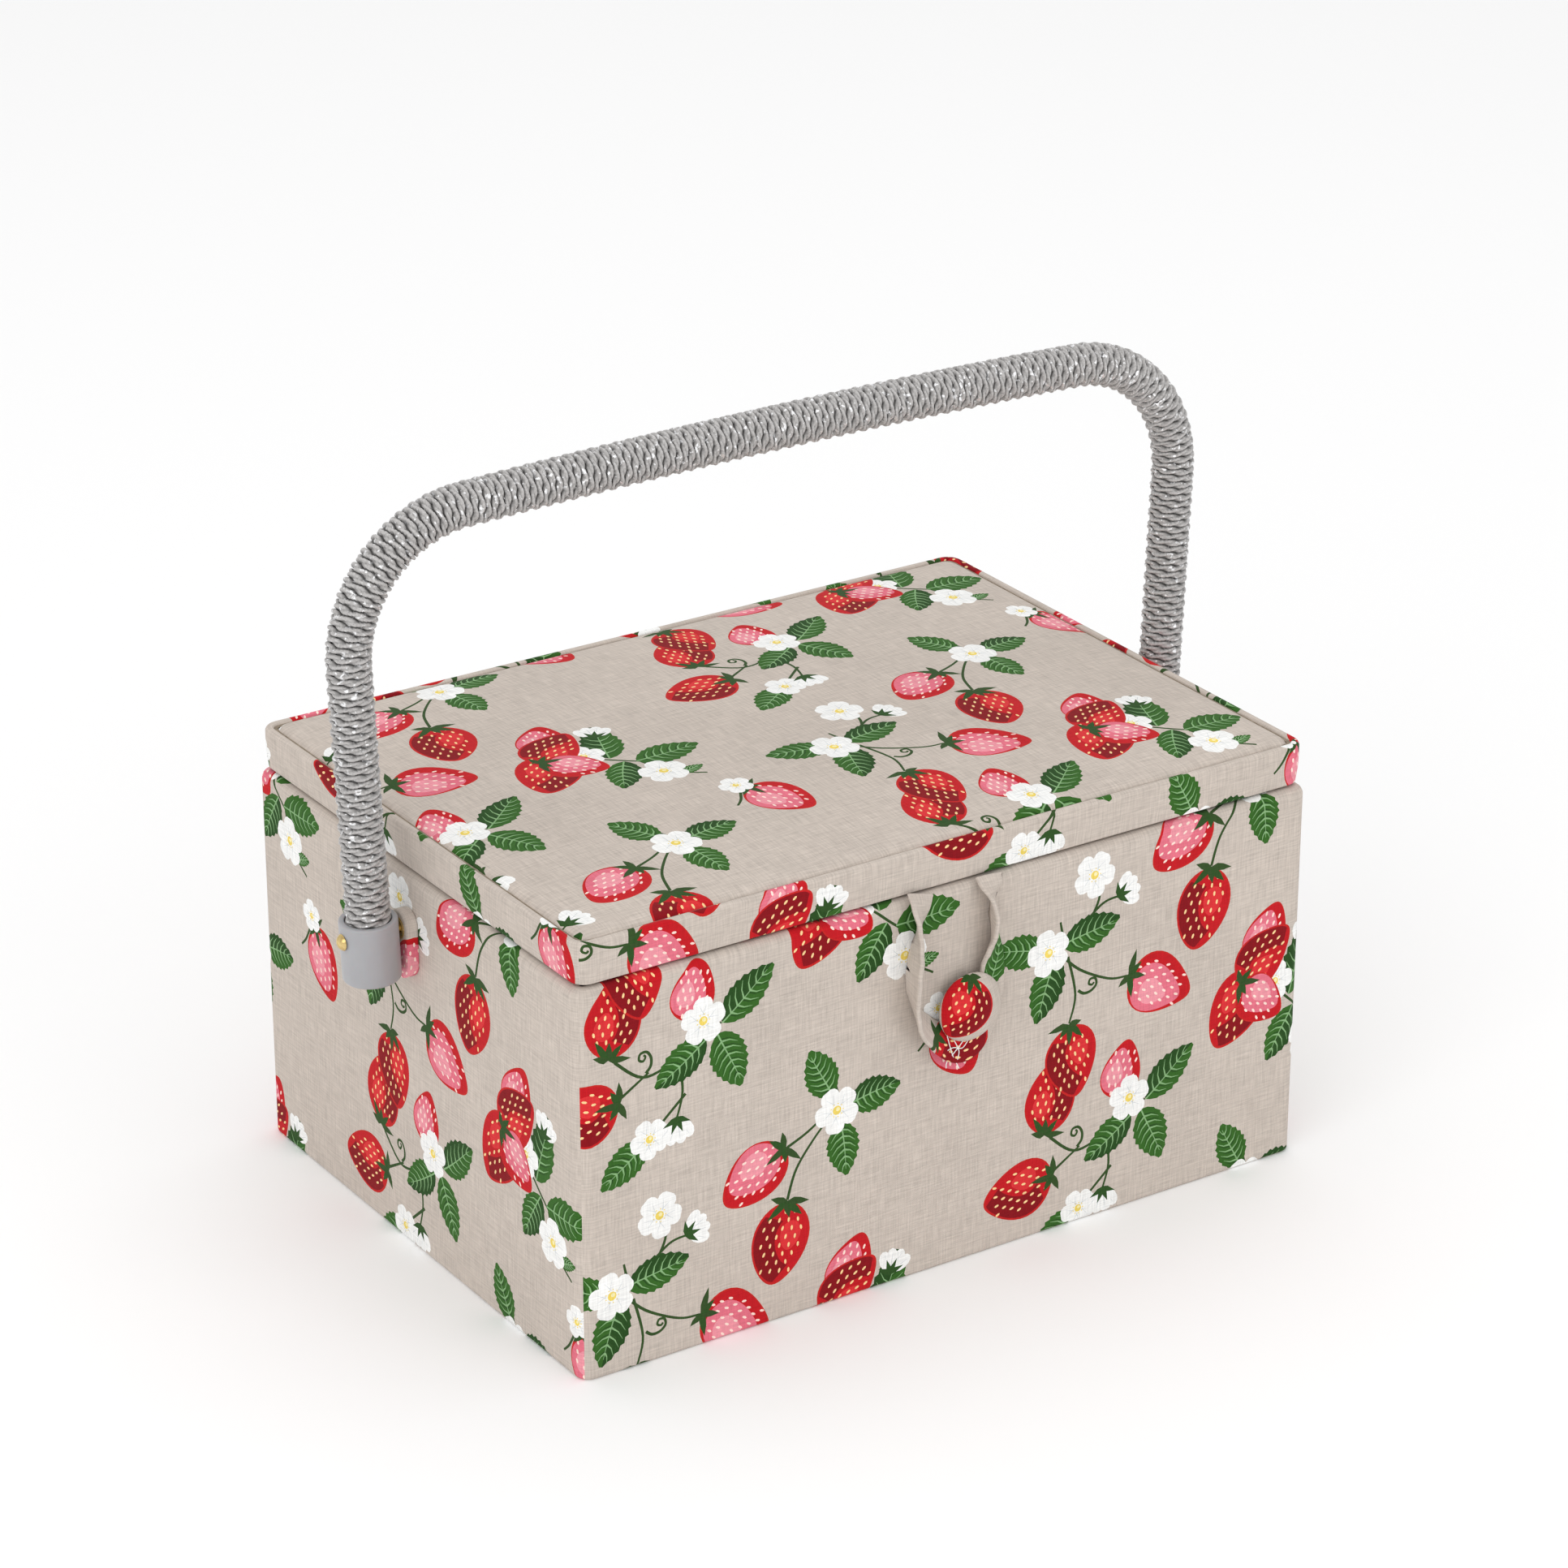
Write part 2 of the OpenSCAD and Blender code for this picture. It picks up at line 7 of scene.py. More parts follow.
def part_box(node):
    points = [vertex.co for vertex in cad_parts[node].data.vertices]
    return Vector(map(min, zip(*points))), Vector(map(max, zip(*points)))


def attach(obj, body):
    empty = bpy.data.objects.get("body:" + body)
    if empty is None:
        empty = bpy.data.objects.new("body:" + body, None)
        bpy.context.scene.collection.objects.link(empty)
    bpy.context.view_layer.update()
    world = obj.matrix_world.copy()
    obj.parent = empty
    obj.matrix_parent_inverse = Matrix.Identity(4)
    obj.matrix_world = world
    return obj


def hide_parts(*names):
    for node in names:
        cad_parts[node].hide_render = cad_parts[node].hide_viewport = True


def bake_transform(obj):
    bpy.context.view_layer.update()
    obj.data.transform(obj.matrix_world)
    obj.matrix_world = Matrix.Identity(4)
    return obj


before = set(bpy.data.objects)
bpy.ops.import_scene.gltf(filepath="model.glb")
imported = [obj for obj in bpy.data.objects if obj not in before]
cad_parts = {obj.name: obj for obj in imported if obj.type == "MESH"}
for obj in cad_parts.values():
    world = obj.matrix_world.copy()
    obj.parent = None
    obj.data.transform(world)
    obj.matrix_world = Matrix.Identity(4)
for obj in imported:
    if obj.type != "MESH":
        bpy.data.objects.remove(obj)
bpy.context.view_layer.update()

# ---- Camera, floor and studio light ----
# The box stands on a plain white floor, seen from its front left and a little above.
# Three big soft lamps and a white room light it evenly, so that it has only a faint shadow.
turn, rise = math.radians(-33.36), math.radians(24.04)
AIM, DISTANCE, ASIDE, ABOVE = Vector((0, 0, 0.07)), 1.54495, 0.00103, 0.04549
back = Vector((math.sin(turn) * math.cos(rise), -math.cos(turn) * math.cos(rise), math.sin(rise)))
right = Vector((math.cos(turn), math.sin(turn), 0))
up = back.cross(right)
camera = bpy.data.objects.new("camera", bpy.data.cameras.new("camera"))
bpy.context.scene.collection.objects.link(camera)
camera.data.sensor_width = 36
camera.data.lens = 117.05
camera.location = AIM + back * DISTANCE + right * ASIDE + up * ABOVE
camera.rotation_mode = "QUATERNION"
camera.rotation_quaternion = (-back).to_track_quat("-Z", "Y")
camera.data.clip_start, camera.data.clip_end = 0.05, 50
bpy.context.scene.camera = camera
bpy.context.scene.view_settings.view_transform = "Standard"


def new_material(name, **values):
    """A material with one Principled shader, and that shader's own values."""
    made = bpy.data.materials.new(name)
    made.use_nodes = True
    shader = made.node_tree.nodes["Principled BSDF"]
    for socket, value in values.items():
        shader.inputs[socket.replace("_", " ")].default_value = value
    return made, made.node_tree, shader


def lamp(name, at, size, watts):
    """A square soft lamp that looks at the middle of the box."""
    data = bpy.data.lights.new(name, "AREA")
    data.size, data.energy = size, watts
    made = bpy.data.objects.new(name, data)
    bpy.context.scene.collection.objects.link(made)
    made.location = at
    beam = Vector((0, 0, 0.1)) - made.location
    made.rotation_mode = "QUATERNION"
    made.rotation_quaternion = beam.to_track_quat("-Z", "Y")


room = bpy.data.worlds.new("white_room")
room.use_nodes = True
room.node_tree.nodes["Background"].inputs["Color"].default_value = (1, 1, 1, 1)
room.node_tree.nodes["Background"].inputs["Strength"].default_value = 0.86
bpy.context.scene.world = room
lamp("left_soft_lamp", (-1.5, -0.9, 1.0), 1.2, 7.3)
lamp("front_soft_lamp", (0.5, -1.9, 0.9), 1.2, 4.5)
lamp("top_soft_lamp", (0.2, 0.3, 1.9), 1.6, 4.9)

floor_mesh = bpy.data.meshes.new("floor")
FLOOR = 6
floor_mesh.from_pydata([(-FLOOR, -FLOOR, 0), (FLOOR, -FLOOR, 0), (FLOOR, FLOOR, 0), (-FLOOR, FLOOR, 0)],
                       [], [(0, 1, 2, 3)])
studio_floor = bpy.data.objects.new("studio_floor", floor_mesh)
bpy.context.scene.collection.objects.link(studio_floor)
floor_mesh.materials.append(new_material("floor_white", Base_Color=(0.97, 0.97, 0.97, 1), Roughness=0.95)[0])

# ---- The printed linen ----
# Greige linen-look cotton, printed all over with sprigs of red and pink berries, leaves and white
# flowers. The inks are cut into the cloth's own mesh, so each edge of the print stays crisp.
# Flat lengths are millimetres of cloth: u across and v up.
INKS = {
    "ground": (196, 185, 175), "rim_red": (190, 34, 30), "red": (190, 20, 30), "deep_red": (132, 8, 20),
    "bright_red": (214, 48, 52), "pink": (222, 112, 130), "pale_pink": (232, 148, 160),
    "seed": (246, 208, 150), "pink_seed": (248, 220, 208), "sepal": (44, 78, 32), "leaf": (52, 98, 34),
    "leaf_dark": (36, 72, 26), "vein": (132, 172, 120), "stem": (50, 76, 36), "petal": (240, 240, 238),
    "petal_line": (208, 212, 214), "centre": (234, 208, 100), "centre_pale": (244, 234, 180)}


def linear(rgb):
    """Linear light of an ink given in the usual 0-255 steps."""
    return tuple((c / 255 / 12.92) if c / 255 <= 0.04045 else ((c / 255 + 0.055) / 1.055) ** 2.4 for c in rgb)


def moved(points, at=(0, 0), turn=0.0, size=1.0):
    """Flat points scaled, turned by degrees and moved."""
    c, s = math.cos(math.radians(turn)) * size, math.sin(math.radians(turn)) * size
    return [(at[0] + x * c - y * s, at[1] + x * s + y * c) for x, y in points]


def placed(shapes, at, turn=0.0, size=1.0):
    """Inked shapes scaled, turned and moved together."""
    return [(moved(points, at, turn, size), ink) for points, ink in shapes]


def smooth_line(points, steps=8):
    """A curve through the points."""
    ends = [points[0]] + list(points) + [points[-1]]
    out = []
    for a, b, c, d in zip(ends, ends[1:], ends[2:], ends[3:]):
        for k in range(steps):
            t = k / steps
            out.append(tuple(0.5 * (2 * q + (r - p) * t + (2 * p - 5 * q + 4 * r - s) * t * t
                                    + (3 * q - p - 3 * r + s) * t ** 3) for p, q, r, s in zip(a, b, c, d)))
    return out + [tuple(points[-1])]


def stroke(points, w0, w1):
    """A brush stroke along the points, from one width to another."""
    left, right_side = [], []
    for k, (x, y) in enumerate(points):
        a, b = points[max(k - 1, 0)], points[min(k + 1, len(points) - 1)]
        dx, dy = b[0] - a[0], b[1] - a[1]
        n = math.hypot(dx, dy) or 1
        w = (w0 + (w1 - w0) * k / (len(points) - 1)) / 2
        left.append((x - dy / n * w, y + dx / n * w))
        right_side.append((x + dy / n * w, y - dx / n * w))
    return left + right_side[::-1]


def berry(length=25.0, pink=False, seed=0):
    """A hanging berry: the calyx at the origin, the tip towards -v."""
    half, mid = 0.36 * length, -0.5 * length

    def ring(grow, dx=0.0, dy=0.0, steps=36):
        out = []
        for k in range(steps):
            t = 2 * math.pi * k / steps
            w = grow * (1 + 0.025 * math.sin(3 * t + seed))
            taper = 1 + 0.27 * math.cos(t) - 0.05 * math.cos(2 * t)
            out.append((dx + w * half * math.sin(t) * taper, mid + dy + w * 0.5 * length * math.cos(t)))
        return out
    side = 1 if seed % 2 else -1
    shapes = [(ring(1.0), "rim_red"), (ring(0.95), "red")]
    if pink:
        shapes += [(ring(0.78, -side * 0.07 * length, 0.03 * length), "pink"),
                   (ring(0.42, -side * 0.12 * length, 0.06 * length, 20), "pale_pink")]
    else:
        outer = ring(0.93)
        inner = ring(0.62, -side * 0.16 * length, 0.05 * length)
        span = range(4, 19) if side > 0 else range(18, 33)
        shapes += [([outer[k] for k in span] + [inner[k] for k in reversed(span)], "deep_red"),
                   (ring(0.36, -side * 0.12 * length, 0.1 * length, 20), "bright_red")]
    rows = int(length / 2.9)
    spot = [(0.42 * math.sin(a * math.pi / 3), 0.85 * math.cos(a * math.pi / 3)) for a in range(6)]
    for i in range(rows):
        y = -0.1 * length - i * (0.82 * length / rows)
        for j in range(-4, 5):
            x = (j + 0.5 * (i % 2)) * 0.125 * length
            t = math.acos(max(-1, min(1, (y - mid) / (0.5 * length))))
            if abs(x) < 0.84 * half * math.sin(t) * (1 + 0.27 * math.cos(t)):
                lean = 60 * x / length + 8 * math.sin(5 * i + j + seed)
                shapes.append((moved(spot, (x, y), lean), "pink_seed" if pink else "seed"))
    return shapes


def calyx(size=1.0, seed=0):
    """Five narrow sepals over the top of a berry."""
    shapes = []
    for k, turn in enumerate((-98, -52, 4, 50, 96)):
        long = 6.2 + 1.6 * math.sin(seed + 2.3 * k)
        bend = 1.2 * math.sin(seed + k)
        blade = [(-0.3, 0), (-1.15, -long * 0.3), (-0.9 + bend * 0.5, -long * 0.62), (bend, -long),
                 (0.95 + bend * 0.4, -long * 0.58), (1.1, -long * 0.28), (0.3, 0)]
        shapes.append((moved(blade, (0, 0.4), turn, size), "sepal" if k % 2 else "stem"))
    return shapes


def leaf(length=21.0, wide=11.5, seed=0):
    """A toothed leaf from its stalk at the origin to its tip at +v, with a lighter midrib and veins."""
    def half_width(s):
        return wide / 2 * math.sin(math.pi * min(1, max(0, s)) ** 0.82) ** 0.75
    teeth = 8
    edge = []
    for k in range(teeth):
        s = (k + 0.35) / teeth
        edge.append((half_width(s) * 0.93, s * length))
        edge.append((half_width(s + 0.07) * 1.04 + 0.15, (s + 0.085) * length))
    mid = [(0.5 * math.sin(3 * k / 9 + seed), k / 9 * length) for k in range(10)]
    shapes = [([mid[0]] + edge + mid[::-1][:-1], "leaf"),
              ([mid[0]] + [(-x, y) for x, y in edge] + mid[::-1][:-1], "leaf_dark" if seed % 2 else "leaf")]
    for k in range(1, 7):
        s = 0.1 + 0.125 * k
        for side in (-1, 1):
            x0, y0 = 0.4 * math.sin(3 * s + seed), s * length - 1.2
            x1, y1 = side * half_width(s + 0.05) * 0.78, (s + 0.09) * length
            line = [(x0, y0), ((x0 + x1) / 2 + side * 0.2, (y0 + y1) / 2 - 0.5), (x1, y1)]
            shapes.append((stroke(line, 0.62, 0.1), "vein"))
            shade = [(x, y - 0.75) for x, y in line]
            shapes.append((stroke(shade, 0.5, 0.08), "leaf_dark" if side > 0 or not seed % 2 else "sepal"))
    shapes.append((stroke(mid[:9], 0.55, 0.15), "vein"))
    return shapes


def flower(r=7.3, seed=0, squash=1.0):
    """An open white flower of five petals with a yellow middle."""
    shapes = []
    for k in range(5):
        turn = 72 * k + 14 * seed
        petal = [(0.42 * r * math.sin(t) * (1 + 0.16 * math.cos(t)), 0.57 * r + 0.44 * r * math.cos(t)
                  - 0.05 * r * math.exp(-8 * t * t))
                 for t in (2 * math.pi * i / 16 - math.pi for i in range(16))]
        shapes.append((moved(petal, (0, 0), turn), "petal"))
        for lean in (-9, 9):
            line = [(0, 0.24 * r), (0.03 * r * lean, 0.62 * r)]
            shapes.append((moved(stroke(line, 0.28, 0.08), (0, 0), turn + lean), "petal_line"))
    for k in range(9):
        dot = [(0.34 * math.cos(a * 2.09), 0.34 * math.sin(a * 2.09)) for a in range(3)]
        at = (0.27 * r * math.cos(k * 0.698), 0.27 * r * math.sin(k * 0.698))
        shapes.append((moved(dot, at), "centre"))
    middle = [(0.19 * r * math.cos(k * 0.628), 0.19 * r * math.sin(k * 0.628)) for k in range(10)]
    shapes += [(middle, "centre"), (moved(middle, (0.3, 0.3), 0, 0.45), "centre_pale")]
    return [([(x, y * squash) for x, y in points], ink) for points, ink in shapes]


def bud(size=1.0, seed=0):
    """A half-open flower seen from the side, on its green cup."""
    shapes = []
    around = [2 * math.pi * i / 12 for i in range(12)]
    for turn in (-42, 40, -14, 14):
        petal = [(2.0 * math.sin(t), 4.2 + 3.1 * math.cos(t)) for t in around]
        shapes.append((moved(petal, (0, 0), turn, size), "petal"))
        shapes.append((moved(stroke([(0, 2), (0.3, 6)], 0.3, 0.1), (0, 0), turn, size), "petal_line"))
    for turn in (-70, -25, 20, 65):
        blade = [(-0.5, -0.4), (-0.9, 1.5), (0, 4.4), (0.8, 1.4), (0.5, -0.4)]
        shapes.append((moved(blade, (0, 0), turn + 5 * seed, size), "sepal"))
    return shapes


def sprig(stems, parts):
    """Stems first, then each part (shapes, place, turn) over them."""
    shapes = [(stroke(smooth_line(line, 6), 1.0, 0.7), "stem") for line in stems]
    for kind, at, turn in parts:
        shapes += placed(kind, at, turn)
    return shapes


def curl(at, turn):
    """The points of a small curling tendril."""
    points = [(0, 0), (2.2, 1.2), (3.2, 3.6), (2.6, 6), (0.6, 6.6), (-0.4, 5.1), (0.6, 4.0), (1.7, 4.8),
              (1.4, 5.7)]
    return moved(points, at, turn)


def fruit(length, pink, seed, calyx_size, calyx_seed, at, turn):
    """A berry and the calyx over its top, as two parts of a sprig."""
    return (berry(length, pink, seed), at, turn), (calyx(calyx_size, calyx_seed), at, turn)


# Six sprigs, each drawn round its own origin
TWO_BERRIES = sprig(
    [[(-15, 3), (-6, -4), (4, -2), (14, 3), (20, 6)], [(-14, -9), (-9, -6), (-4, -3)],
     [(6, -2), (7, -12), (5, -20)], [(8, -13), (0, -20), (-4, -24)], curl((-5, -3), 20)],
    [(leaf(22, 11.5, 1), (20, 6), -52), (leaf(20, 12, 2), (19, 3), -158), (leaf(20, 11, 3), (15, 2), 122),
     (leaf(19, 11, 4), (-5, -24), 128), *fruit(24, False, 2, 1, 1, (-17, 5), 170),
     *fruit(25, False, 3, 1.05, 3, (-14, -10), -82),
     (berry(19, True, 4), (9, 9), 168), (flower(7.6, 0), (14, 8), 0), (flower(6.6, 2), (-4, -24), 0),
     (bud(1.15, 1), (5, -20), 178)])
TRIPLE_LEAF = sprig(
    [[(-2, 0), (6, -8), (17, -14), (24, -15)], [(2, -3), (5, -16), (3, -25)], [(0, 4), (-1, 9)],
     [(6, 5), (14, 11), (20, 12)], [(10, 7), (13, 14), (11, 20)], curl((6, -15), -64)],
    [(leaf(21, 11, 5), (0, 1), -78), (leaf(20, 11, 6), (-6, 1), 78), (leaf(21, 12, 7), (-2, -2), 160),
     *fruit(25, True, 5, 1.05, 5, (25, -15), 62),
     *fruit(24, False, 6, 1.0, 2, (3, -26), 6),
     (flower(7.8, 1), (-5, 0), 0), (flower(7.6, 3), (11, 21), 0), (bud(1.1, 2), (20, 12), -68)])
PINK_AND_RED = sprig(
    [[(-12, -4), (-5, -1), (3, 4)], [(-12, -21), (-9, -12), (-3, -4), (4, 3)], [(6, 6), (4, 13)]],
    [(leaf(18, 11, 8), (3, 8), 24), (leaf(18, 11, 9), (9, 4), -84), (leaf(18, 11, 10), (6, -1), -172),
     *fruit(24, True, 7, 1.05, 4, (-13, -4), -60),
     *fruit(26, False, 8, 1.1, 6, (-12, -22), -12), (flower(7.8, 2), (5, 3), 0)])
LEAFY_FLOWERS = sprig(
    [[(-16, 14), (-8, 6), (2, -3), (12, -10)], [(-14, 13), (-16, 6), (-20, 2)],
     [(4, -5), (8, -16), (16, -22)], [(-9, 8), (-3, 14), (2, 18)]],
    [(leaf(24, 12.5, 11), (-2, 2), -16), (leaf(22, 12, 12), (3, -4), -86), (leaf(19, 11, 13), (0, -2), 148),
     (leaf(9, 4.5, 14), (9, -18), -80), *fruit(26, False, 9, 1.1, 7, (-17, 14), -28),
     *fruit(21, True, 10, 0.9, 8, (-16, 15), 158), (flower(7.0, 4), (-8, 8), 0),
     (flower(7.8, 5), (6, -14), 0), (bud(1.1, 3), (2, 18), -20)])
BERRY_PAIR = sprig(
    [[(8, -6), (12, -8), (14, -12)]],
    [(berry(23, False, 11), (7, -7), 148), (berry(20, True, 12), (8, -8), 70),
     (calyx(1.0, 9), (8, -7), 110)])
SINGLE_PINK = sprig(
    [[(-6, 8), (-9, 3), (-12, 0)]],
    [*fruit(23, True, 13, 0.95, 10, (-3, 9), 24), (flower(5.4, 6), (-5, 12), 0)])

# One repeat of the print, 150 by 134 mm; each next column is dropped by half a repeat.
# A sprig is left out where its origin is further than REACH from the cloth.
REPEAT_W, REPEAT_H, REACH = 150.0, 134.0, 48
LAYOUT = [(TWO_BERRIES, 34, 98, 0), (TRIPLE_LEAF, 22, 28, 0), (PINK_AND_RED, 88, 62, 0),
          (LEAFY_FLOWERS, 110, 122, 0), (SINGLE_PINK, 133, 76, 0), (BERRY_PAIR, 84, 8, -20)]


def print_over(u0, u1, v0, v1):
    """The inked shapes of the print that fall in a rectangle of the cloth, lowest first."""
    shapes = []
    for column in range(math.floor((u0 - REACH) / REPEAT_W), math.ceil((u1 + REACH) / REPEAT_W)):
        drop = REPEAT_H / 2 * (column % 2)
        first, last = (v0 - drop - REACH) / REPEAT_H, (v1 - drop + REACH) / REPEAT_H
        for row in range(math.floor(first), math.ceil(last)):
            for sprig_shapes, x, y, turn in LAYOUT:
                at = (column * REPEAT_W + x, row * REPEAT_H + drop + y)
                if not (u0 - REACH < at[0] < u1 + REACH and v0 - REACH < at[1] < v1 + REACH):
                    continue
                for points, ink in placed(sprig_shapes, at, turn):
                    us, vs = zip(*points)
                    if max(us) > u0 and min(us) < u1 and max(vs) > v0 and min(vs) < v1:
                        shapes.append((points, ink))
    return shapes


def add_object(name, vertices, faces, body):
    """A mesh in metres from vertices in millimetres, riding on a body of the frame."""
    mesh = bpy.data.meshes.new(name)
    mesh.from_pydata([tuple(c / 1000 for c in p) for p in vertices], [], faces)
    mesh.polygons.foreach_set("use_smooth", [True] * len(mesh.polygons))
    mesh.update()
    made = bpy.data.objects.new(name, mesh)
    bpy.context.scene.collection.objects.link(made)
    if body:
        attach(made, body)
    return made


def cut_cloth(name, u_lines, v_lines, surface, body, shapes=None, keep=None, inside_out=False):
    """A panel of printed cloth. Its flat piece runs between the first and last of u_lines and v_lines,
    creased along each of them, and surface(u, v) gives each flat point's place in millimetres."""
    u0, u1, v0, v1 = u_lines[0], u_lines[-1], v_lines[0], v_lines[-1]
    shapes = print_over(u0, u1, v0, v1) if shapes is None else shapes
    points = [(u0, v0), (u1, v0), (u1, v1), (u0, v1)]
    outlines = [[0, 1, 2, 3]]
    creases = []
    for u in u_lines[1:-1]:
        creases.append((len(points), len(points) + 1))
        points += [(u, v0), (u, v1)]
    for v in v_lines[1:-1]:
        creases.append((len(points), len(points) + 1))
        points += [(u0, v), (u1, v)]
    for outline, ink in shapes:
        ring = list(range(len(points), len(points) + len(outline)))
        turning = sum(a[0] * b[1] - b[0] * a[1] for a, b in zip(outline, outline[1:] + outline[:1]))
        outlines.append(ring if turning > 0 else ring[::-1])
        points += outline
    flat, _, faces, _, _, over = delaunay_2d_cdt([Vector(p) for p in points], creases, outlines,
                                                 0, 1e-4, True)
    middles = [sum((flat[k] for k in f), Vector((0, 0))) / len(f) for f in faces]
    kept = [i for i, m in enumerate(middles)
            if u0 < m.x < u1 and v0 < m.y < v1 and (keep is None or keep(m.x, m.y))]
    used = sorted({k for i in kept for k in faces[i]})
    place = {k: i for i, k in enumerate(used)}
    made_faces = [[place[k] for k in faces[i]] for i in kept]
    if inside_out:
        made_faces = [f[::-1] for f in made_faces]
    made = add_object(name, [surface(flat[k].x, flat[k].y) for k in used], made_faces, body)
    mesh = made.data
    tints = {ink: (*linear(rgb), 0.0 if ink == "ground" else 1.0) for ink, rgb in INKS.items()}
    colours = mesh.color_attributes.new("print", "FLOAT_COLOR", "CORNER")
    uv = mesh.uv_layers.new(name="cloth")
    corner_tints, corner_uv = [], []
    for f, i in zip(made_faces, kept):
        top = max(over[i], default=0)
        tint = tints["ground" if top == 0 else shapes[top - 1][1]]
        for k in f:
            corner_tints.extend(tint)
            corner_uv.extend((flat[used[k]].x / 10, flat[used[k]].y / 10))
    colours.data.foreach_set("color", corner_tints)
    uv.data.foreach_set("uv", corner_uv)
    step = 0.02
    normals = []
    for k in used:
        u = min(max(flat[k].x, u0 + step), u1 - step)
        v = min(max(flat[k].y, v0 + step), v1 - step)
        along = Vector(surface(u + step, v)) - Vector(surface(u - step, v))
        upward = Vector(surface(u, v + step)) - Vector(surface(u, v - step))
        n = along.cross(upward).normalized()
        normals.append(-n if inside_out else n)
    mesh.normals_split_custom_set_from_vertices(normals)
    mesh.materials.append(PRINTED_LINEN)
    return made


def new_group(name, inputs, outputs):
    """A shader group with named inputs (name, kind, value) and outputs (name, kind)."""
    group = bpy.data.node_groups.new(name, "ShaderNodeTree")
    for label, kind, value in inputs:
        socket = group.interface.new_socket(label, in_out="INPUT", socket_type="NodeSocket" + kind)
        if value is not None:
            socket.default_value = value
    for label, kind in outputs:
        group.interface.new_socket(label, in_out="OUTPUT", socket_type="NodeSocket" + kind)
    return group, group.nodes.new("NodeGroupInput"), group.nodes.new("NodeGroupOutput")


def node(tree, kind, inputs=(), **settings):
    """A shader node: settings go on the node, inputs are (socket, value or another node's output)."""
    made = tree.nodes.new("ShaderNode" + kind)
    for key, value in settings.items():
        setattr(made, key, value)
    for socket, value in inputs:
        if isinstance(value, bpy.types.NodeSocket):
            tree.links.new(value, made.inputs[socket])
        else:
            made.inputs[socket].default_value = value
    return made


def maths(tree, operation, a, b=0.0, c=0.0):
    """One step of arithmetic in a shader."""
    return node(tree, "Math", [(0, a), (1, b), (2, c)], operation=operation).outputs[0]


def noise_at(tree, at, scale, detail, *more):
    """Noise from 0 to 1 at a place; more are further inputs of the node."""
    inputs = [("Vector", at), ("Scale", scale), ("Detail", detail), *more]
    return node(tree, "TexNoise", inputs).outputs["Fac"]


def relief(tree, shader, height, strength, distance):
    """Gives a shader fine bumps from a height."""
    bump = node(tree, "Bump", [("Strength", strength), ("Distance", distance), ("Height", height)])
    tree.links.new(bump.outputs[0], shader.inputs["Normal"])


# Slubby weave: long uneven threads both ways over a fine plain weave; Place is in centimetres of cloth
weave, w_in, w_out = new_group(
    "linen_weave", [("Place", "Vector", None), ("Slub", "Float", 1.0), ("Thread mm", "Float", 0.45)],
    [("Tone", "Float"), ("Height", "Float")])
place = w_in.outputs["Place"]
streaks = []
for across in ((20.0, 1.1, 1.0), (1.1, 20.0, 1.0)):
    stretched = node(weave, "VectorMath", [(0, place), (1, across)], operation="MULTIPLY").outputs[0]
    streaks.append(noise_at(weave, stretched, 1.0, 3.0, ("Roughness", 0.6)))
both = maths(weave, "SUBTRACT", maths(weave, "ADD", *streaks), 1.0)
slow = maths(weave, "MULTIPLY", maths(weave, "SUBTRACT", noise_at(weave, place, 0.35, 2.0), 0.5), 0.16)
tone = maths(weave, "MULTIPLY_ADD", maths(weave, "MULTIPLY", both, w_in.outputs["Slub"]), 0.62, 1.0)
weave.links.new(maths(weave, "ADD", tone, slow), w_out.inputs["Tone"])
parts = node(weave, "SeparateXYZ", [(0, place)])
turns = maths(weave, "DIVIDE", 62.8318, w_in.outputs["Thread mm"])
wave = [maths(weave, "SINE", maths(weave, "MULTIPLY", parts.outputs[i], turns)) for i in (0, 1)]
plain = maths(weave, "MULTIPLY_ADD", maths(weave, "MULTIPLY", *wave), 0.25, 0.5)
weave.links.new(maths(weave, "MULTIPLY_ADD", both, 0.6, plain), w_out.inputs["Height"])


def linen_material(name, slub=1.0, printed=False):
    """Linen-look cotton. Printed, it takes its colour from the inks that the cloth's mesh carries."""
    made, tree, shader = new_material(name, Roughness=0.88, Sheen_Weight=0.04, Specular_IOR_Level=0.16)
    if printed:
        place = node(tree, "UVMap", uv_map="cloth").outputs[0]
    else:
        local = node(tree, "TexCoord").outputs["Object"]
        place = node(tree, "VectorMath", [(0, local), (1, (100, 100, 100))], operation="MULTIPLY").outputs[0]
    threads = node(tree, "Group", [("Place", place), ("Slub", slub)], node_tree=weave)
    tint, tone = linear(INKS["ground"]), threads.outputs["Tone"]
    if printed:
        inks = node(tree, "Attribute", attribute_name="print")
        softer = maths(tree, "MULTIPLY_ADD", maths(tree, "SUBTRACT", tone, 1.0), 0.8, 1.0)
        tint = inks.outputs["Color"]
        tone = node(tree, "Mix", [(0, inks.outputs["Alpha"]), (2, tone), (3, softer)]).outputs[0]
    shaded = node(tree, "VectorMath", [(0, tint), ("Scale", tone)], operation="SCALE")
    tree.links.new(shaded.outputs[0], shader.inputs["Base Color"])
    relief(tree, shader, threads.outputs["Height"], 0.35, 0.0002)
    return made


PRINTED_LINEN = linen_material("printed_linen", printed=True)
PLAIN_LINEN = linen_material("plain_linen")

# ---- Wall covers ----
# Four panels of the printed linen, glued round the board walls. Each wraps half way round its two
# corners, turns in under the base and over the rim, and ends 10 mm down inside the box.
BODY_W, BODY_D, BODY_H = 255.0, 185.0, 122.5
CORNER_R, SHOULDER_R = 4.5, 3.0


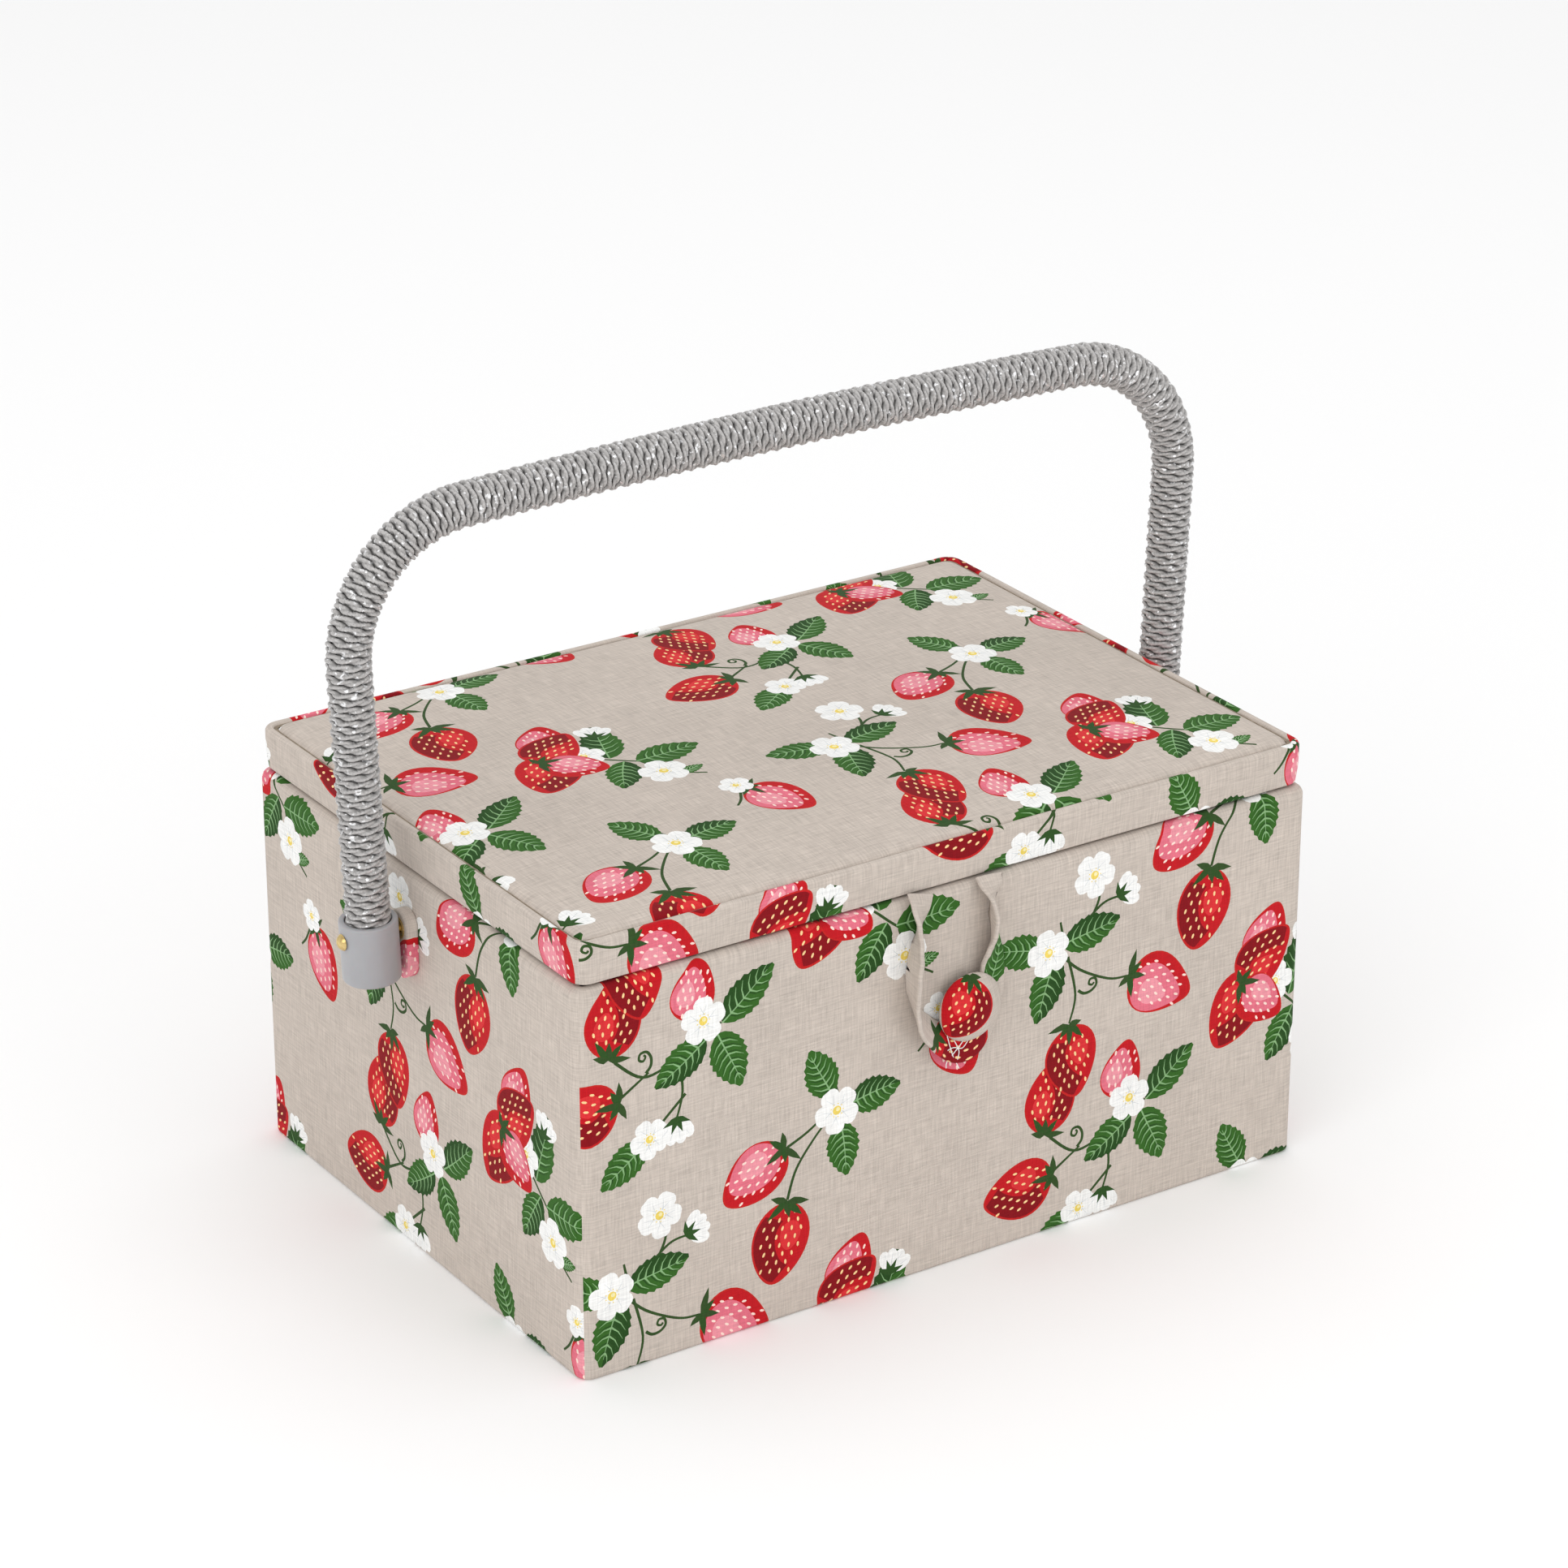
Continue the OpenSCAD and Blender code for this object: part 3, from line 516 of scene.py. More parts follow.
def profile_points(parts):
    """The path of a cover up its section as (inset, height, length so far), in short steps."""
    out = [(parts[0][0], parts[0][1], 0.0)]
    for inset, z in parts[1:]:
        a, b, length = out[-1]
        out.append((inset, z, length + math.hypot(inset - a, z - b)))
    return out


def arc(inset, z, r, start, end, steps=6):
    """Points of a round edge in the section, by angle from the inward direction towards up."""
    return [(inset + r * math.cos(math.radians(start + (end - start) * k / steps)),
             z + r * math.sin(math.radians(start + (end - start) * k / steps))) for k in range(steps + 1)]


def along_profile(profile, v):
    """Inset and height at a length v up the section."""
    lengths = [p[2] for p in profile]
    return float(np.interp(v, lengths, [p[0] for p in profile])), \
        float(np.interp(v, lengths, [p[1] for p in profile]))


def wall_panel(name, side, wide, deep, radius, profile, start, body):
    """One side's cover, round to the middle of both corners; start is where its left end is on the cloth."""
    half, reach = wide / 2 - radius, deep / 2 - radius
    bend = radius * math.pi / 4
    total = 2 * (half + bend)

    def surface(u, v):
        inset, z = along_profile(profile, v)
        s = u - start - total / 2
        r = radius - inset
        if abs(s) <= half:
            x, y = s, -deep / 2 + inset
        else:
            angle = (abs(s) - half) / radius
            x = math.copysign(half + r * math.sin(angle), s)
            y = -reach - r * math.cos(angle)
        for _ in range(side):
            x, y = -y, x
        return (x, y, z)
    corner = [bend * k / 4 for k in range(1, 5)]
    u_lines = [start + total / 2 + s for s in
               [-half - c for c in reversed(corner)] + [-half, half] + [half + c for c in corner]]
    return cut_cloth(name, u_lines, [p[2] for p in profile], surface, body), total


def four_panels(piece, stands_for, wide, deep, radius, profile, start, body):
    """A cover on each side, cut one after the other from one length of cloth that begins at start."""
    for side, label in enumerate(("front", "right", "back", "left")):
        size = (wide, deep) if side % 2 == 0 else (deep, wide)
        panel, used = wall_panel(piece.format(label), side, *size, radius, profile, start, body)
        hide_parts(stands_for.format(label))
        start += used


wall_profile = profile_points(
    [(3.2, 0.06), (1.4, 0.06)] + arc(1.2, 1.25, 1.2, 270, 180, 4)[1:] + [(0, 30), (0, 60), (0, 90)]
    + arc(SHOULDER_R, BODY_H - SHOULDER_R, SHOULDER_R, 180, 90, 6) + arc(3.6, BODY_H - 0.7, 0.7, 90, 0, 3)
    + [(4.3, BODY_H - 10)])
four_panels("{}_wall_linen", "{}_cover", BODY_W, BODY_D, CORNER_R, wall_profile, 8.0, "box")

# ---- Lid band covers ----
# The same linen glued round the lid's four rails: it turns in under the band, swells very slightly,
# and rolls over the rim down to the padded top, so that the rim stands up as a soft round edge.
LID_W, LID_D, LID_Z0, LID_Z1, LID_R = 253.2, 183.2, 123.3, 136.5, 5.5
band_profile = profile_points(
    [(4.3, LID_Z0 + 0.1), (1.9, LID_Z0 + 0.02)] + arc(1.5, LID_Z0 + 0.8, 0.8, 270, 190, 4)
    + [(0.45, LID_Z0 + 2.6), (0.2, LID_Z0 + 4.4), (0.05, LID_Z0 + 6.8), (0, LID_Z0 + 9.5)]
    + arc(1.3, LID_Z1 - 1.3, 1.3, 176, 90, 5) + arc(1.6, LID_Z1 - 1.0, 1.0, 90, 8, 5)
    + [(2.62, LID_Z1 - 2.4)])
four_panels("{}_lid_linen", "lid_{}_cover", LID_W, LID_D, LID_R, band_profile, 31.0, "lid")

# ---- Padded lid top ----
# Printed linen stretched over a sheet of foam and tucked down inside the rim. The foam pushes it up
# steeply at the edge and nearly flat over the middle; the tuck leaves a dark line all round.
TOP_W, TOP_D, TOP_Z = 247.5, 177.5, 134.9
TOP_AT, TUCK, BORDER, CROWN_H, TOP_CORNER = (40, 30), 1.9, 1.3, 1.9, 5


def swell_cloth(name, wide, deep, step, pressure, cap, pinned=lambda x, y: False, frames=20):
    """A flat sheet of cloth held at its edge, and where it is pinned, and swelled by what is under it.
    The answer is its height over a grid, cap at the highest."""
    across, rows = round(wide / step), round(deep / step)
    xs, ys = np.linspace(-wide / 2, wide / 2, across + 1), np.linspace(-deep / 2, deep / 2, rows + 1)
    vertices = [(x, y, 0) for y in ys for x in xs]
    row = across + 1
    corners = [j * row + i for j in range(rows) for i in range(across)]
    faces = [(k, k + 1, k + row + 1, k + row) for k in corners]
    sheet = add_object(name, vertices, faces, None)
    held = sheet.vertex_groups.new(name="held")
    held.add([k for k, (x, y, _) in enumerate(vertices)
              if abs(x) > wide / 2 - 0.1 or abs(y) > deep / 2 - 0.1 or pinned(x, y)], 1.0, "REPLACE")
    cloth = sheet.modifiers.new("cloth", "CLOTH")
    cloth.settings.vertex_group_mass = "held"
    cloth.settings.use_pressure = True
    cloth.settings.uniform_pressure_force = pressure
    cloth.settings.mass = 0.15
    cloth.settings.tension_stiffness = cloth.settings.compression_stiffness = 8
    cloth.settings.effector_weights.gravity = 0
    cloth.point_cache.frame_start, cloth.point_cache.frame_end = 1, frames
    for f in range(1, frames + 1):
        bpy.context.scene.frame_set(f)
    swollen = sheet.evaluated_get(bpy.context.evaluated_depsgraph_get())
    height = np.array([v.co.z for v in swollen.data.vertices]).reshape(rows + 1, row) * 1000
    bpy.data.objects.remove(sheet)
    bpy.context.scene.frame_set(1)
    return xs, ys, cap * height / max(height.max(), 1e-6)


def at_grid(xs, ys, values, x, y):
    """A value between the points of a grid."""
    i = min(max(int((x - xs[0]) / (xs[1] - xs[0])), 0), len(xs) - 2)
    j = min(max(int((y - ys[0]) / (ys[1] - ys[0])), 0), len(ys) - 2)
    a, b = (x - xs[i]) / (xs[i + 1] - xs[i]), (y - ys[j]) / (ys[j + 1] - ys[j])
    a, b = min(max(a, 0), 1), min(max(b, 0), 1)
    return float((values[j][i] * (1 - a) + values[j][i + 1] * a) * (1 - b)
                 + (values[j + 1][i] * (1 - a) + values[j + 1][i + 1] * a) * b)


top_xs, top_ys, top_swell = swell_cloth("top_swell", TOP_W, TOP_D, 6.0, 4.0, CROWN_H)


def top_surface(u, v):
    """A point of the padded top from its place on the cloth."""
    x, y = u - TOP_AT[0] - TOP_W / 2, v - TOP_AT[1] - TOP_D / 2
    edge = min(TOP_W / 2 - abs(x), TOP_D / 2 - abs(y))
    corner = math.hypot(max(abs(x) - TOP_W / 2 + TOP_CORNER, 0), max(abs(y) - TOP_D / 2 + TOP_CORNER, 0))
    edge = max(min(edge, TOP_CORNER - corner) if corner > 0 else edge, 0)
    rise = TUCK * (1 - math.exp(-edge / 1.1)) + BORDER * (1 - math.exp(-edge / 12))
    return (x, y, TOP_Z + rise + at_grid(top_xs, top_ys, top_swell, x, y))


def top_lines(start, length, count):
    """Creases close together at both edges, where the cloth bends most, and count between them."""
    near, inner = [0, 0.3, 0.7, 1.3, 2.2, 3.4, 5.0, 7.5, 11.0, 16.0, 23.0], 33
    return [start + f for f in near] + list(np.linspace(start + inner, start + length - inner, count)) + \
        [start + length - f for f in near[::-1]]


lid_top = cut_cloth("padded_lid_top_linen", top_lines(TOP_AT[0], TOP_W, 19), top_lines(TOP_AT[1], TOP_D, 12),
                    top_surface, "lid")
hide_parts("lid_top_cover", "lid_foam")

# ---- Closure loop ----
# A strip of the same linen, folded to 10 mm wide and four layers thick. It hangs from under the lid's
# band, turns on edge on its way down each side of the button and curves flat below it.
LOOP_MIDDLE = [  # across, down the front, distance off the wall, and degrees that the strip is turned on edge
    (-13.4, 123.1, -0.6, 8), (-14.0, 120.5, 1.2, 20), (-15.4, 115, 2.6, 52), (-17.2, 108, 4.2, 74),
    (-18.6, 100, 4.8, 80), (-18.2, 92, 4.4, 72), (-15.0, 84.5, 3.4, 52), (-9.6, 78.6, 2.8, 34),
    (-4.0, 74.0, 2.6, 16), (0.4, 72.2, 2.9, 4), (4.6, 73.6, 2.6, -6), (8.4, 78.6, 2.0, -8),
    (10.6, 86, 1.5, -6), (10.8, 95, 1.8, -10), (10.6, 103, 2.6, -40),
    (10.0, 110, 3.3, -72), (10.2, 117, 2.3, -56),
    (10.4, 120.5, 1.3, -18), (10.4, 123.1, -0.6, -8)]
LOOP_WIDE, LOOP_THICK, LOOP_Y, LOOP_STOP = 9.6, 1.5, -92.6, -92.55
loop_line = smooth_line(LOOP_MIDDLE)
loop_lengths = [0.0]
for a, b in zip(loop_line, loop_line[1:]):
    loop_lengths.append(loop_lengths[-1] + math.dist(a[:3], b[:3]))


def strip_ring(wide, thick, v):
    """A point of the folded strip's round-edged section, by its length round from the front's left edge."""
    flat, edge = wide - thick, math.pi * thick / 2
    v = v % (2 * (flat + edge))
    if v <= flat:
        return v - flat / 2, thick / 2
    if v <= flat + edge:
        a = (v - flat) / thick * 2
        return flat / 2 + thick / 2 * math.sin(a), thick / 2 * math.cos(a)
    if v <= 2 * flat + edge:
        return flat / 2 - (v - flat - edge), -thick / 2
    a = (v - 2 * flat - edge) / thick * 2
    return -flat / 2 - thick / 2 * math.sin(a), -thick / 2 * math.cos(a)


LOOP_AT = (60.0, 20.0)


def loop_surface(u, v):
    """A point of the strip: u along its middle line and v round its section."""
    s = u - LOOP_AT[0]
    k = min(max(int(np.searchsorted(loop_lengths, s)) - 1, 0), len(loop_line) - 2)
    t = (s - loop_lengths[k]) / (loop_lengths[k + 1] - loop_lengths[k])
    x, z, off, turned = [a * (1 - t) + b * t for a, b in zip(loop_line[k], loop_line[k + 1])]
    a, b = loop_line[max(k - 1, 0)], loop_line[min(k + 2, len(loop_line) - 1)]
    run = Vector((b[0] - a[0], a[2] - b[2], b[1] - a[1])).normalized()
    side_way = run.cross(Vector((0, -1, 0))).normalized()
    facing = side_way.cross(run).normalized()
    angle = math.radians(turned)
    across = side_way * math.cos(angle) + facing * math.sin(angle)
    proud = facing * math.cos(angle) - side_way * math.sin(angle)
    w, h = strip_ring(LOOP_WIDE, LOOP_THICK, v - LOOP_AT[1])
    pucker = 0.18 * math.sin(s * 0.9) * math.sin(s * 0.23) * (w / LOOP_WIDE * 2)
    p = Vector((x, LOOP_Y - off, z)) + across * w + proud * (h + pucker)
    return (p.x, min(p.y, LOOP_STOP), p.z)


flat, fold = LOOP_WIDE - LOOP_THICK, math.pi * LOOP_THICK / 2
loop_u = [LOOP_AT[0] + s for s in np.linspace(0, loop_lengths[-1], 100)]
loop_v = [LOOP_AT[1] + v for v in
          [0, flat * 0.33, flat * 0.67] + [flat + fold * k / 4 for k in range(5)] + [flat * 1.5 + fold]
          + [2 * flat + fold * (1 + k / 4) for k in range(5)]]
loop_print = placed(berry(25, False, 7) + calyx(1.0, 5), (LOOP_AT[0] + loop_lengths[-1] * 0.41, 24.5), 78)
loop_print += placed(leaf(21.0, 11.5, 4), (LOOP_AT[0] + loop_lengths[-1] * 0.70, 22.0), -70, 0.9)
closure = cut_cloth("closure_loop_linen", loop_u, loop_v, loop_surface, "closure", loop_print,
                    inside_out=True)
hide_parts("closure_loop")

# Loose ends of white sewing thread where the strip is caught down at its point
COTTON, tree, shader = new_material("white_sewing_cotton", Base_Color=(0.88, 0.87, 0.85, 1), Roughness=0.7,
                                    Sheen_Weight=0.2)
fluff = node(tree, "TexNoise", [("Scale", 900.0), ("Detail", 2.0)]).outputs["Fac"]
relief(tree, shader, fluff, 0.4, 0.0001)


def tube(name, lines, radius, body, sides, material):
    """Round threads along lines of points, as one mesh."""
    vertices, faces = [], []
    for line in lines:
        base = len(vertices)
        for k, p in enumerate(line):
            run = (Vector(line[min(k + 1, len(line) - 1)]) - Vector(line[max(k - 1, 0)])).normalized()
            side_way = run.cross(Vector((0.13, 0.92, 0.37))).normalized()
            other = run.cross(side_way)
            for j in range(sides):
                a = 2 * math.pi * j / sides
                vertices.append(Vector(p) + (side_way * math.cos(a) + other * math.sin(a)) * radius)
        for k in range(len(line) - 1):
            for j in range(sides):
                a, b = base + k * sides + j, base + k * sides + (j + 1) % sides
                faces.append((a, b, b + sides, a + sides))
        faces += [tuple(base + j for j in reversed(range(sides))),
                  tuple(base + (len(line) - 1) * sides + j for j in range(sides))]
    add_object(name, vertices, faces, body).data.materials.append(material)


stitches = [
    [(-6.1, -96.3, 78.2), (-5.2, -96.7, 74.2), (-4.0, -96.6, 70.7), (-2.4, -96.2, 67.8), (-1.2, -95.6, 65.8)],
    [(0.8, -96.4, 77.6), (-1.0, -96.8, 74.8), (-3.8, -96.7, 72.0), (-5.8, -96.1, 69.4), (-5.6, -95.4, 67.0)],
    [(-7.2, -96.2, 72.6), (-4.2, -96.8, 73.8), (-1.0, -96.8, 72.8), (1.6, -96.3, 74.8)],
    [(-3.8, -96.6, 76.0), (-2.2, -96.9, 72.2), (-2.4, -96.5, 69.2), (-0.6, -95.9, 68.2)]]
tube("closure_threads", [smooth_line(line, 5) for line in stitches], 0.16, "closure", 5, COTTON)

# ---- Covered button ----
# A domed metal shell with the printed linen stretched over it and gripped behind by a back plate.
# It stands on a shank, so that the loop slips behind its rim.
BUTTON_X, BUTTON_Z, BUTTON_R, BUTTON_DOME, BUTTON_BACK = 2.0, 85.0, 11.0, 6.0, -96.0
ball = (BUTTON_R ** 2 + BUTTON_DOME ** 2) / (2 * BUTTON_DOME)
EDGE_R, EDGE_FROM = 0.9, ball * math.asin(BUTTON_R / ball) - 0.8
begin = EDGE_FROM / ball


def button_surface(u, v):
    """A point of the button's cover by its place round the middle of the cloth disc."""
    reach, way = math.hypot(u, v), math.atan2(v, u)
    angle = min(reach / ball, begin)
    r, y = ball * math.sin(angle), BUTTON_DOME - ball + ball * math.cos(angle)
    if reach >= EDGE_FROM:
        past = reach - EDGE_FROM
        angle = min(begin + past / EDGE_R, math.pi)
        r += EDGE_R * (math.sin(angle) - math.sin(begin)) - max(0, past - EDGE_R * (math.pi - begin))
        y += EDGE_R * (math.cos(angle) - math.cos(begin))
    return (BUTTON_X + r * math.cos(way), BUTTON_BACK - y, BUTTON_Z + r * math.sin(way))


button_print = placed(berry(25, False, 3), (-0.5, 11.2), -22, 0.86)
button_print += placed(calyx(1.0, 2), (-1.0, 11.6), -22, 0.9)
lines = [-16.0] + [-15 + 30 * k / 40 for k in range(41)] + [16.0]
button_edge = EDGE_FROM + EDGE_R * (math.pi - begin) + 1.6
circle_edge = [(button_edge * math.cos(2 * math.pi * k / 96), button_edge * math.sin(2 * math.pi * k / 96))
               for k in range(96)]
button = cut_cloth("covered_button_linen", lines, lines, button_surface, "box",
                   [(circle_edge, "ground")] + button_print,
                   lambda u, v: math.hypot(u, v) < button_edge - 0.05)
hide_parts("button_cover")

# ---- Handle ----
# A bent plastic bar wound tightly with grey two-ply cord that has a silver thread in it. The two
# plies roll over each other as the cord goes round, so the winding looks like rows of small links.
PIVOT_Z, LEG_HALF, LEG_LEN, BEND_R = 107.0, 140.9, 83.5, 39.5
LEAN, CROWN = math.radians(2.3), math.radians(1.95)
bend_x = LEG_HALF + LEG_LEN * math.sin(LEAN) - BEND_R * math.cos(LEAN)
bend_z = PIVOT_Z + LEG_LEN * math.cos(LEAN) + BEND_R * math.sin(LEAN)
crown_r = BEND_R + bend_x / math.sin(CROWN)
crown_z = bend_z + (BEND_R - crown_r) * math.cos(CROWN)
bend_turn = math.pi / 2 - CROWN + LEAN
bend_length, crown_length = BEND_R * bend_turn, 2 * CROWN * crown_r
handle_length = 2 * (LEG_LEN + bend_length) + crown_length


def arch_at(s):
    """Middle line of the handle at lengths s from the left rivet: across, up, and the outward normal."""
    s = np.asarray(s, float)
    mirrored = s > handle_length / 2
    s = np.where(mirrored, handle_length - s, s)
    on_bend = np.clip((s - LEG_LEN) / BEND_R, 0, bend_turn)
    angle = math.pi + LEAN - on_bend
    on_crown = np.clip((s - LEG_LEN - bend_length) / crown_r, 0, CROWN)
    crown_angle = math.pi / 2 + CROWN - on_crown
    leg = s < LEG_LEN
    crown = s > LEG_LEN + bend_length
    x = np.where(leg, -LEG_HALF - s * math.sin(LEAN), -bend_x + BEND_R * np.cos(angle))
    z = np.where(leg, PIVOT_Z + s * math.cos(LEAN), bend_z + BEND_R * np.sin(angle))
    nx = np.where(leg, -math.cos(LEAN), np.cos(angle))
    nz = np.where(leg, -math.sin(LEAN), np.sin(angle))
    x = np.where(crown, crown_r * np.cos(crown_angle), x)
    z = np.where(crown, crown_z + crown_r * np.sin(crown_angle), z)
    nx = np.where(crown, np.cos(crown_angle), nx)
    nz = np.where(crown, np.sin(crown_angle), nz)
    sign = np.where(mirrored, -1.0, 1.0)
    return x * sign, z, nx * sign, nz


def ramp(tree, factor, low, high, stops=(0.3, 0.7)):
    """Two colours, blended by a factor between two stops."""
    made = node(tree, "ValToRGB", [("Fac", factor)])
    for k, colour in enumerate((low, high)):
        element = made.color_ramp.elements[k]
        element.position, element.color = stops[k], (*colour, 1)
    return made.outputs[0]


CORD_PITCH, PLY_OUT, PLY_R, CORD_IN, PLY_TWIST = 2.1, 0.54, 0.56, 5.62, 12.2
SILVER_CORD, tree, shader = new_material("grey_cord_with_silver_thread", Roughness=0.62, Sheen_Weight=0.15)
at = node(tree, "TexCoord").outputs["Object"]
fibres = noise_at(tree, at, 1500.0, 4.0, ("Roughness", 0.7))
glints = noise_at(tree, at, 620.0, 2.0)
silver = node(tree, "MapRange", [("Value", glints), ("From Min", 0.6), ("From Max", 0.66)]).outputs[0]
# Painted shade: the grooves between the two plies are darkened almost to black by a point attribute that
# wound_cord sets from how deep each point lies.
gap_shade_mask = node(tree, "Attribute", attribute_name="painted_gap_shade").outputs["Fac"]
grey = ramp(tree, fibres, (0.33, 0.318, 0.31), (0.60, 0.585, 0.575), (0.3, 0.72))
shaded = node(tree, "Mix", [(0, gap_shade_mask), (6, grey), (7, (0.045, 0.042, 0.04, 1))], data_type="RGBA").outputs[2]
lit = node(tree, "Mix", [(0, silver), (6, shaded), (7, (0.86, 0.86, 0.87, 1))], data_type="RGBA").outputs[2]
tree.links.new(lit, shader.inputs["Base Color"])
tree.links.new(maths(tree, "MULTIPLY", silver, 0.75), shader.inputs["Metallic"])
tree.links.new(maths(tree, "MULTIPLY_ADD", silver, -0.34, 0.62), shader.inputs["Roughness"])
relief(tree, shader, fibres, 0.5, 0.00015)


def wound_cord(name, s0, s1, body, steps=72, across=8):
    """The winding over one stretch of the handle, as the outer face of the twisted cord."""
    count = int((s1 - s0) / CORD_PITCH * steps)
    i = np.arange(count + 1)[:, None]
    v = np.linspace(0, 1, across + 1)[None, :]
    round_way = 2 * math.pi * (s0 / CORD_PITCH + i / steps)
    s = s0 + CORD_PITCH * (i / steps + v - 0.5)
    off = (v - 0.5) * CORD_PITCH
    twist = 2 * math.pi * round_way * 6.3 / PLY_TWIST + 0.35 * np.sin(round_way * 0.037)
    height = np.full(s.shape, -0.7)
    for ply in (0, math.pi):
        c, sn = PLY_OUT * np.cos(twist + ply), PLY_OUT * np.sin(twist + ply)
        height = np.maximum(height, sn + np.sqrt(np.maximum(PLY_R ** 2 - (off - c) ** 2, 0))
                            - np.where(abs(off - c) > PLY_R, 2.0, 0))
    r = CORD_IN + height + 0.12 * np.exp(-((np.minimum(s, handle_length - s) - 7) / 4) ** 2)
    x, z, nx, nz = arch_at(s)
    a = np.broadcast_to(round_way, s.shape)
    points = np.stack([x + nx * r * np.cos(a), r * np.sin(a), z + nz * r * np.cos(a)], -1).reshape(-1, 3)
    k = np.arange(count)[:, None] * (across + 1) + np.arange(across)[None, :]
    quads = np.stack([k, k + 1, k + across + 2, k + across + 1], -1).reshape(-1, 4)
    made = add_object(name, points, quads.tolist(), body)
    # Painted shade: how far each point sinks between the plies, which the cord's material turns into darker
    # colour.
    deep = made.data.attributes.new("painted_gap_shade", "FLOAT", "POINT")
    deep.data.foreach_set("value", np.clip((0.5 - height) / 0.75, 0, 1).astype(np.float32).ravel())
    made.data.materials.append(SILVER_CORD)
    return made


joins = [3.4, LEG_LEN + bend_length, handle_length - LEG_LEN - bend_length, handle_length - 3.4]
wraps = [wound_cord(f"handle_winding_{label}", s0, s1, "handle")
         for label, s0, s1 in zip(("left", "top", "right"), joins, joins[1:])]
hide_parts("handle_wrap")

# ---- Handle ends ----
# A pale grey plastic ferrule over each end of the bar, turned on a brass rivet with a domed head.
# An eyelet and a linen-covered pad keep it off the wall.
FERRULE_R, FERRULE_LOW, FERRULE_UP, TURNED_SIDES = 8.6, 13.5, 5.5, 72


def mottled(name, tint=None, rough=None, bump=None, **values):
    """A material that varies by noise in the object's own space. tint is (noise, two colours, stops),
    rough is (noise, amount, least) and bump is (noise, strength, distance)."""
    made, tree, shader = new_material(name, **values)
    at = node(tree, "TexCoord").outputs["Object"]
    if tint:
        tree.links.new(ramp(tree, noise_at(tree, at, *tint[0]), *tint[1:]), shader.inputs["Base Color"])
    if rough:
        varied = maths(tree, "MULTIPLY_ADD", noise_at(tree, at, *rough[0]), *rough[1:])
        tree.links.new(varied, shader.inputs["Roughness"])
    if bump:
        relief(tree, shader, noise_at(tree, at, *bump[0]), *bump[1:])
    return made


GREY_PLASTIC = mottled(
    "pale_grey_satin_plastic", Roughness=0.38, Subsurface_Weight=0.12, Subsurface_Scale=0.002,
    Specular_IOR_Level=0.45, tint=((90.0, 3.0), (0.36, 0.36, 0.375), (0.395, 0.395, 0.41), (0.35, 0.7)),
    rough=((1800.0, 2.0), 0.16, 0.3), bump=((1800.0, 2.0), 0.12, 0.0001))


def turned(name, profile, body, place, material):
    """A piece turned round an axis from its profile of (radius, height); place puts it on the object."""
    vertices, faces, sides = [], [], TURNED_SIDES
    for r, h in profile:
        for j in range(sides):
            a = 2 * math.pi * j / sides
            vertices.append(place(Vector((r * math.cos(a), r * math.sin(a), h))))
    for k in range(len(profile) - 1):
        for j in range(sides):
            a, b = k * sides + j, k * sides + (j + 1) % sides
            faces.append((a, b, b + sides, a + sides))
    made = add_object(name, vertices, faces, body)
    bm = bmesh.new()
    bm.from_mesh(made.data)
    bmesh.ops.remove_doubles(bm, verts=bm.verts, dist=1e-7)
    bmesh.ops.recalc_face_normals(bm, faces=bm.faces)
    bm.to_mesh(made.data)
    bm.free()
    made.data.materials.append(material)
    return made


for label, sign in (("left", -1), ("right", 1)):
    def on_leg(p, sign=sign):
        lean = Matrix.Rotation(sign * LEAN, 3, "Y")
        return lean @ p + Vector((sign * LEG_HALF, 0, PIVOT_Z))
    ferrule = turned(
        f"ferrule_{label}_moulding",
        [(0.01, -FERRULE_LOW)] + arc(FERRULE_R - 1.1, 1.1 - FERRULE_LOW, 1.1, 270, 360)
        + [(FERRULE_R, -4), (FERRULE_R, 2)] + arc(FERRULE_R - 0.55, FERRULE_UP - 0.55, 0.55, 0, 90, 4)
        + arc(7.15, FERRULE_UP - 0.3, 0.3, 90, 180, 3) + [(6.75, 4.2), (6.6, 1.0)],
        "handle", on_leg, GREY_PLASTIC)
    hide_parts(f"ferrule_{label}")

BRASS = mottled("polished_brass", Metallic=1.0, Roughness=0.24, rough=((420.0, 4.0), 0.3, 0.1),
                tint=((420.0, 4.0), (0.50, 0.35, 0.13), (0.78, 0.60, 0.27), (0.3, 0.65)))


def finish_nodes(material, *names):
    """Gives nodes of the frame their finish."""
    for name in names:
        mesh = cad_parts[name].data
        mesh.materials.clear()
        mesh.materials.append(material)


finish_nodes(BRASS, "rivet_left", "rivet_right", "eyelet_left", "eyelet_right", "washer_left", "washer_right")


PAD_R, PAD_STAND, PAD_MID_Z = 5.0, 5.75, 101.75
pad_profile = profile_points([(0.5, 0.02), (0.1, 0.15), (0, 0.6), (0, 3.2), (0.12, 3.6), (0.5, 3.82),
                              (1.2, 3.88), (4.7, 3.8)])
half_round, straight = math.pi * PAD_R, 2 * PAD_STAND
pad_round = 2 * (half_round + straight)


def pad_surface(u, v, sign):
    """A point of the pad's cover: u round its edge from the foot of its front, v from the wall out."""
    inset, out = along_profile(pad_profile, v)
    s, r = u % pad_round, PAD_R - inset
    if s < straight:
        y, z = -r, s - PAD_STAND
    elif s < straight + half_round:
        a = math.pi - (s - straight) / PAD_R
        y, z = r * math.cos(a), PAD_STAND + r * math.sin(a)
    elif s < 2 * straight + half_round:
        y, z = r, PAD_STAND - (s - straight - half_round)
    else:
        a = -(s - 2 * straight - half_round) / PAD_R
        y, z = r * math.cos(a), -PAD_STAND + r * math.sin(a)
    return (sign * (BODY_W / 2 + out), y, PAD_MID_Z + z)


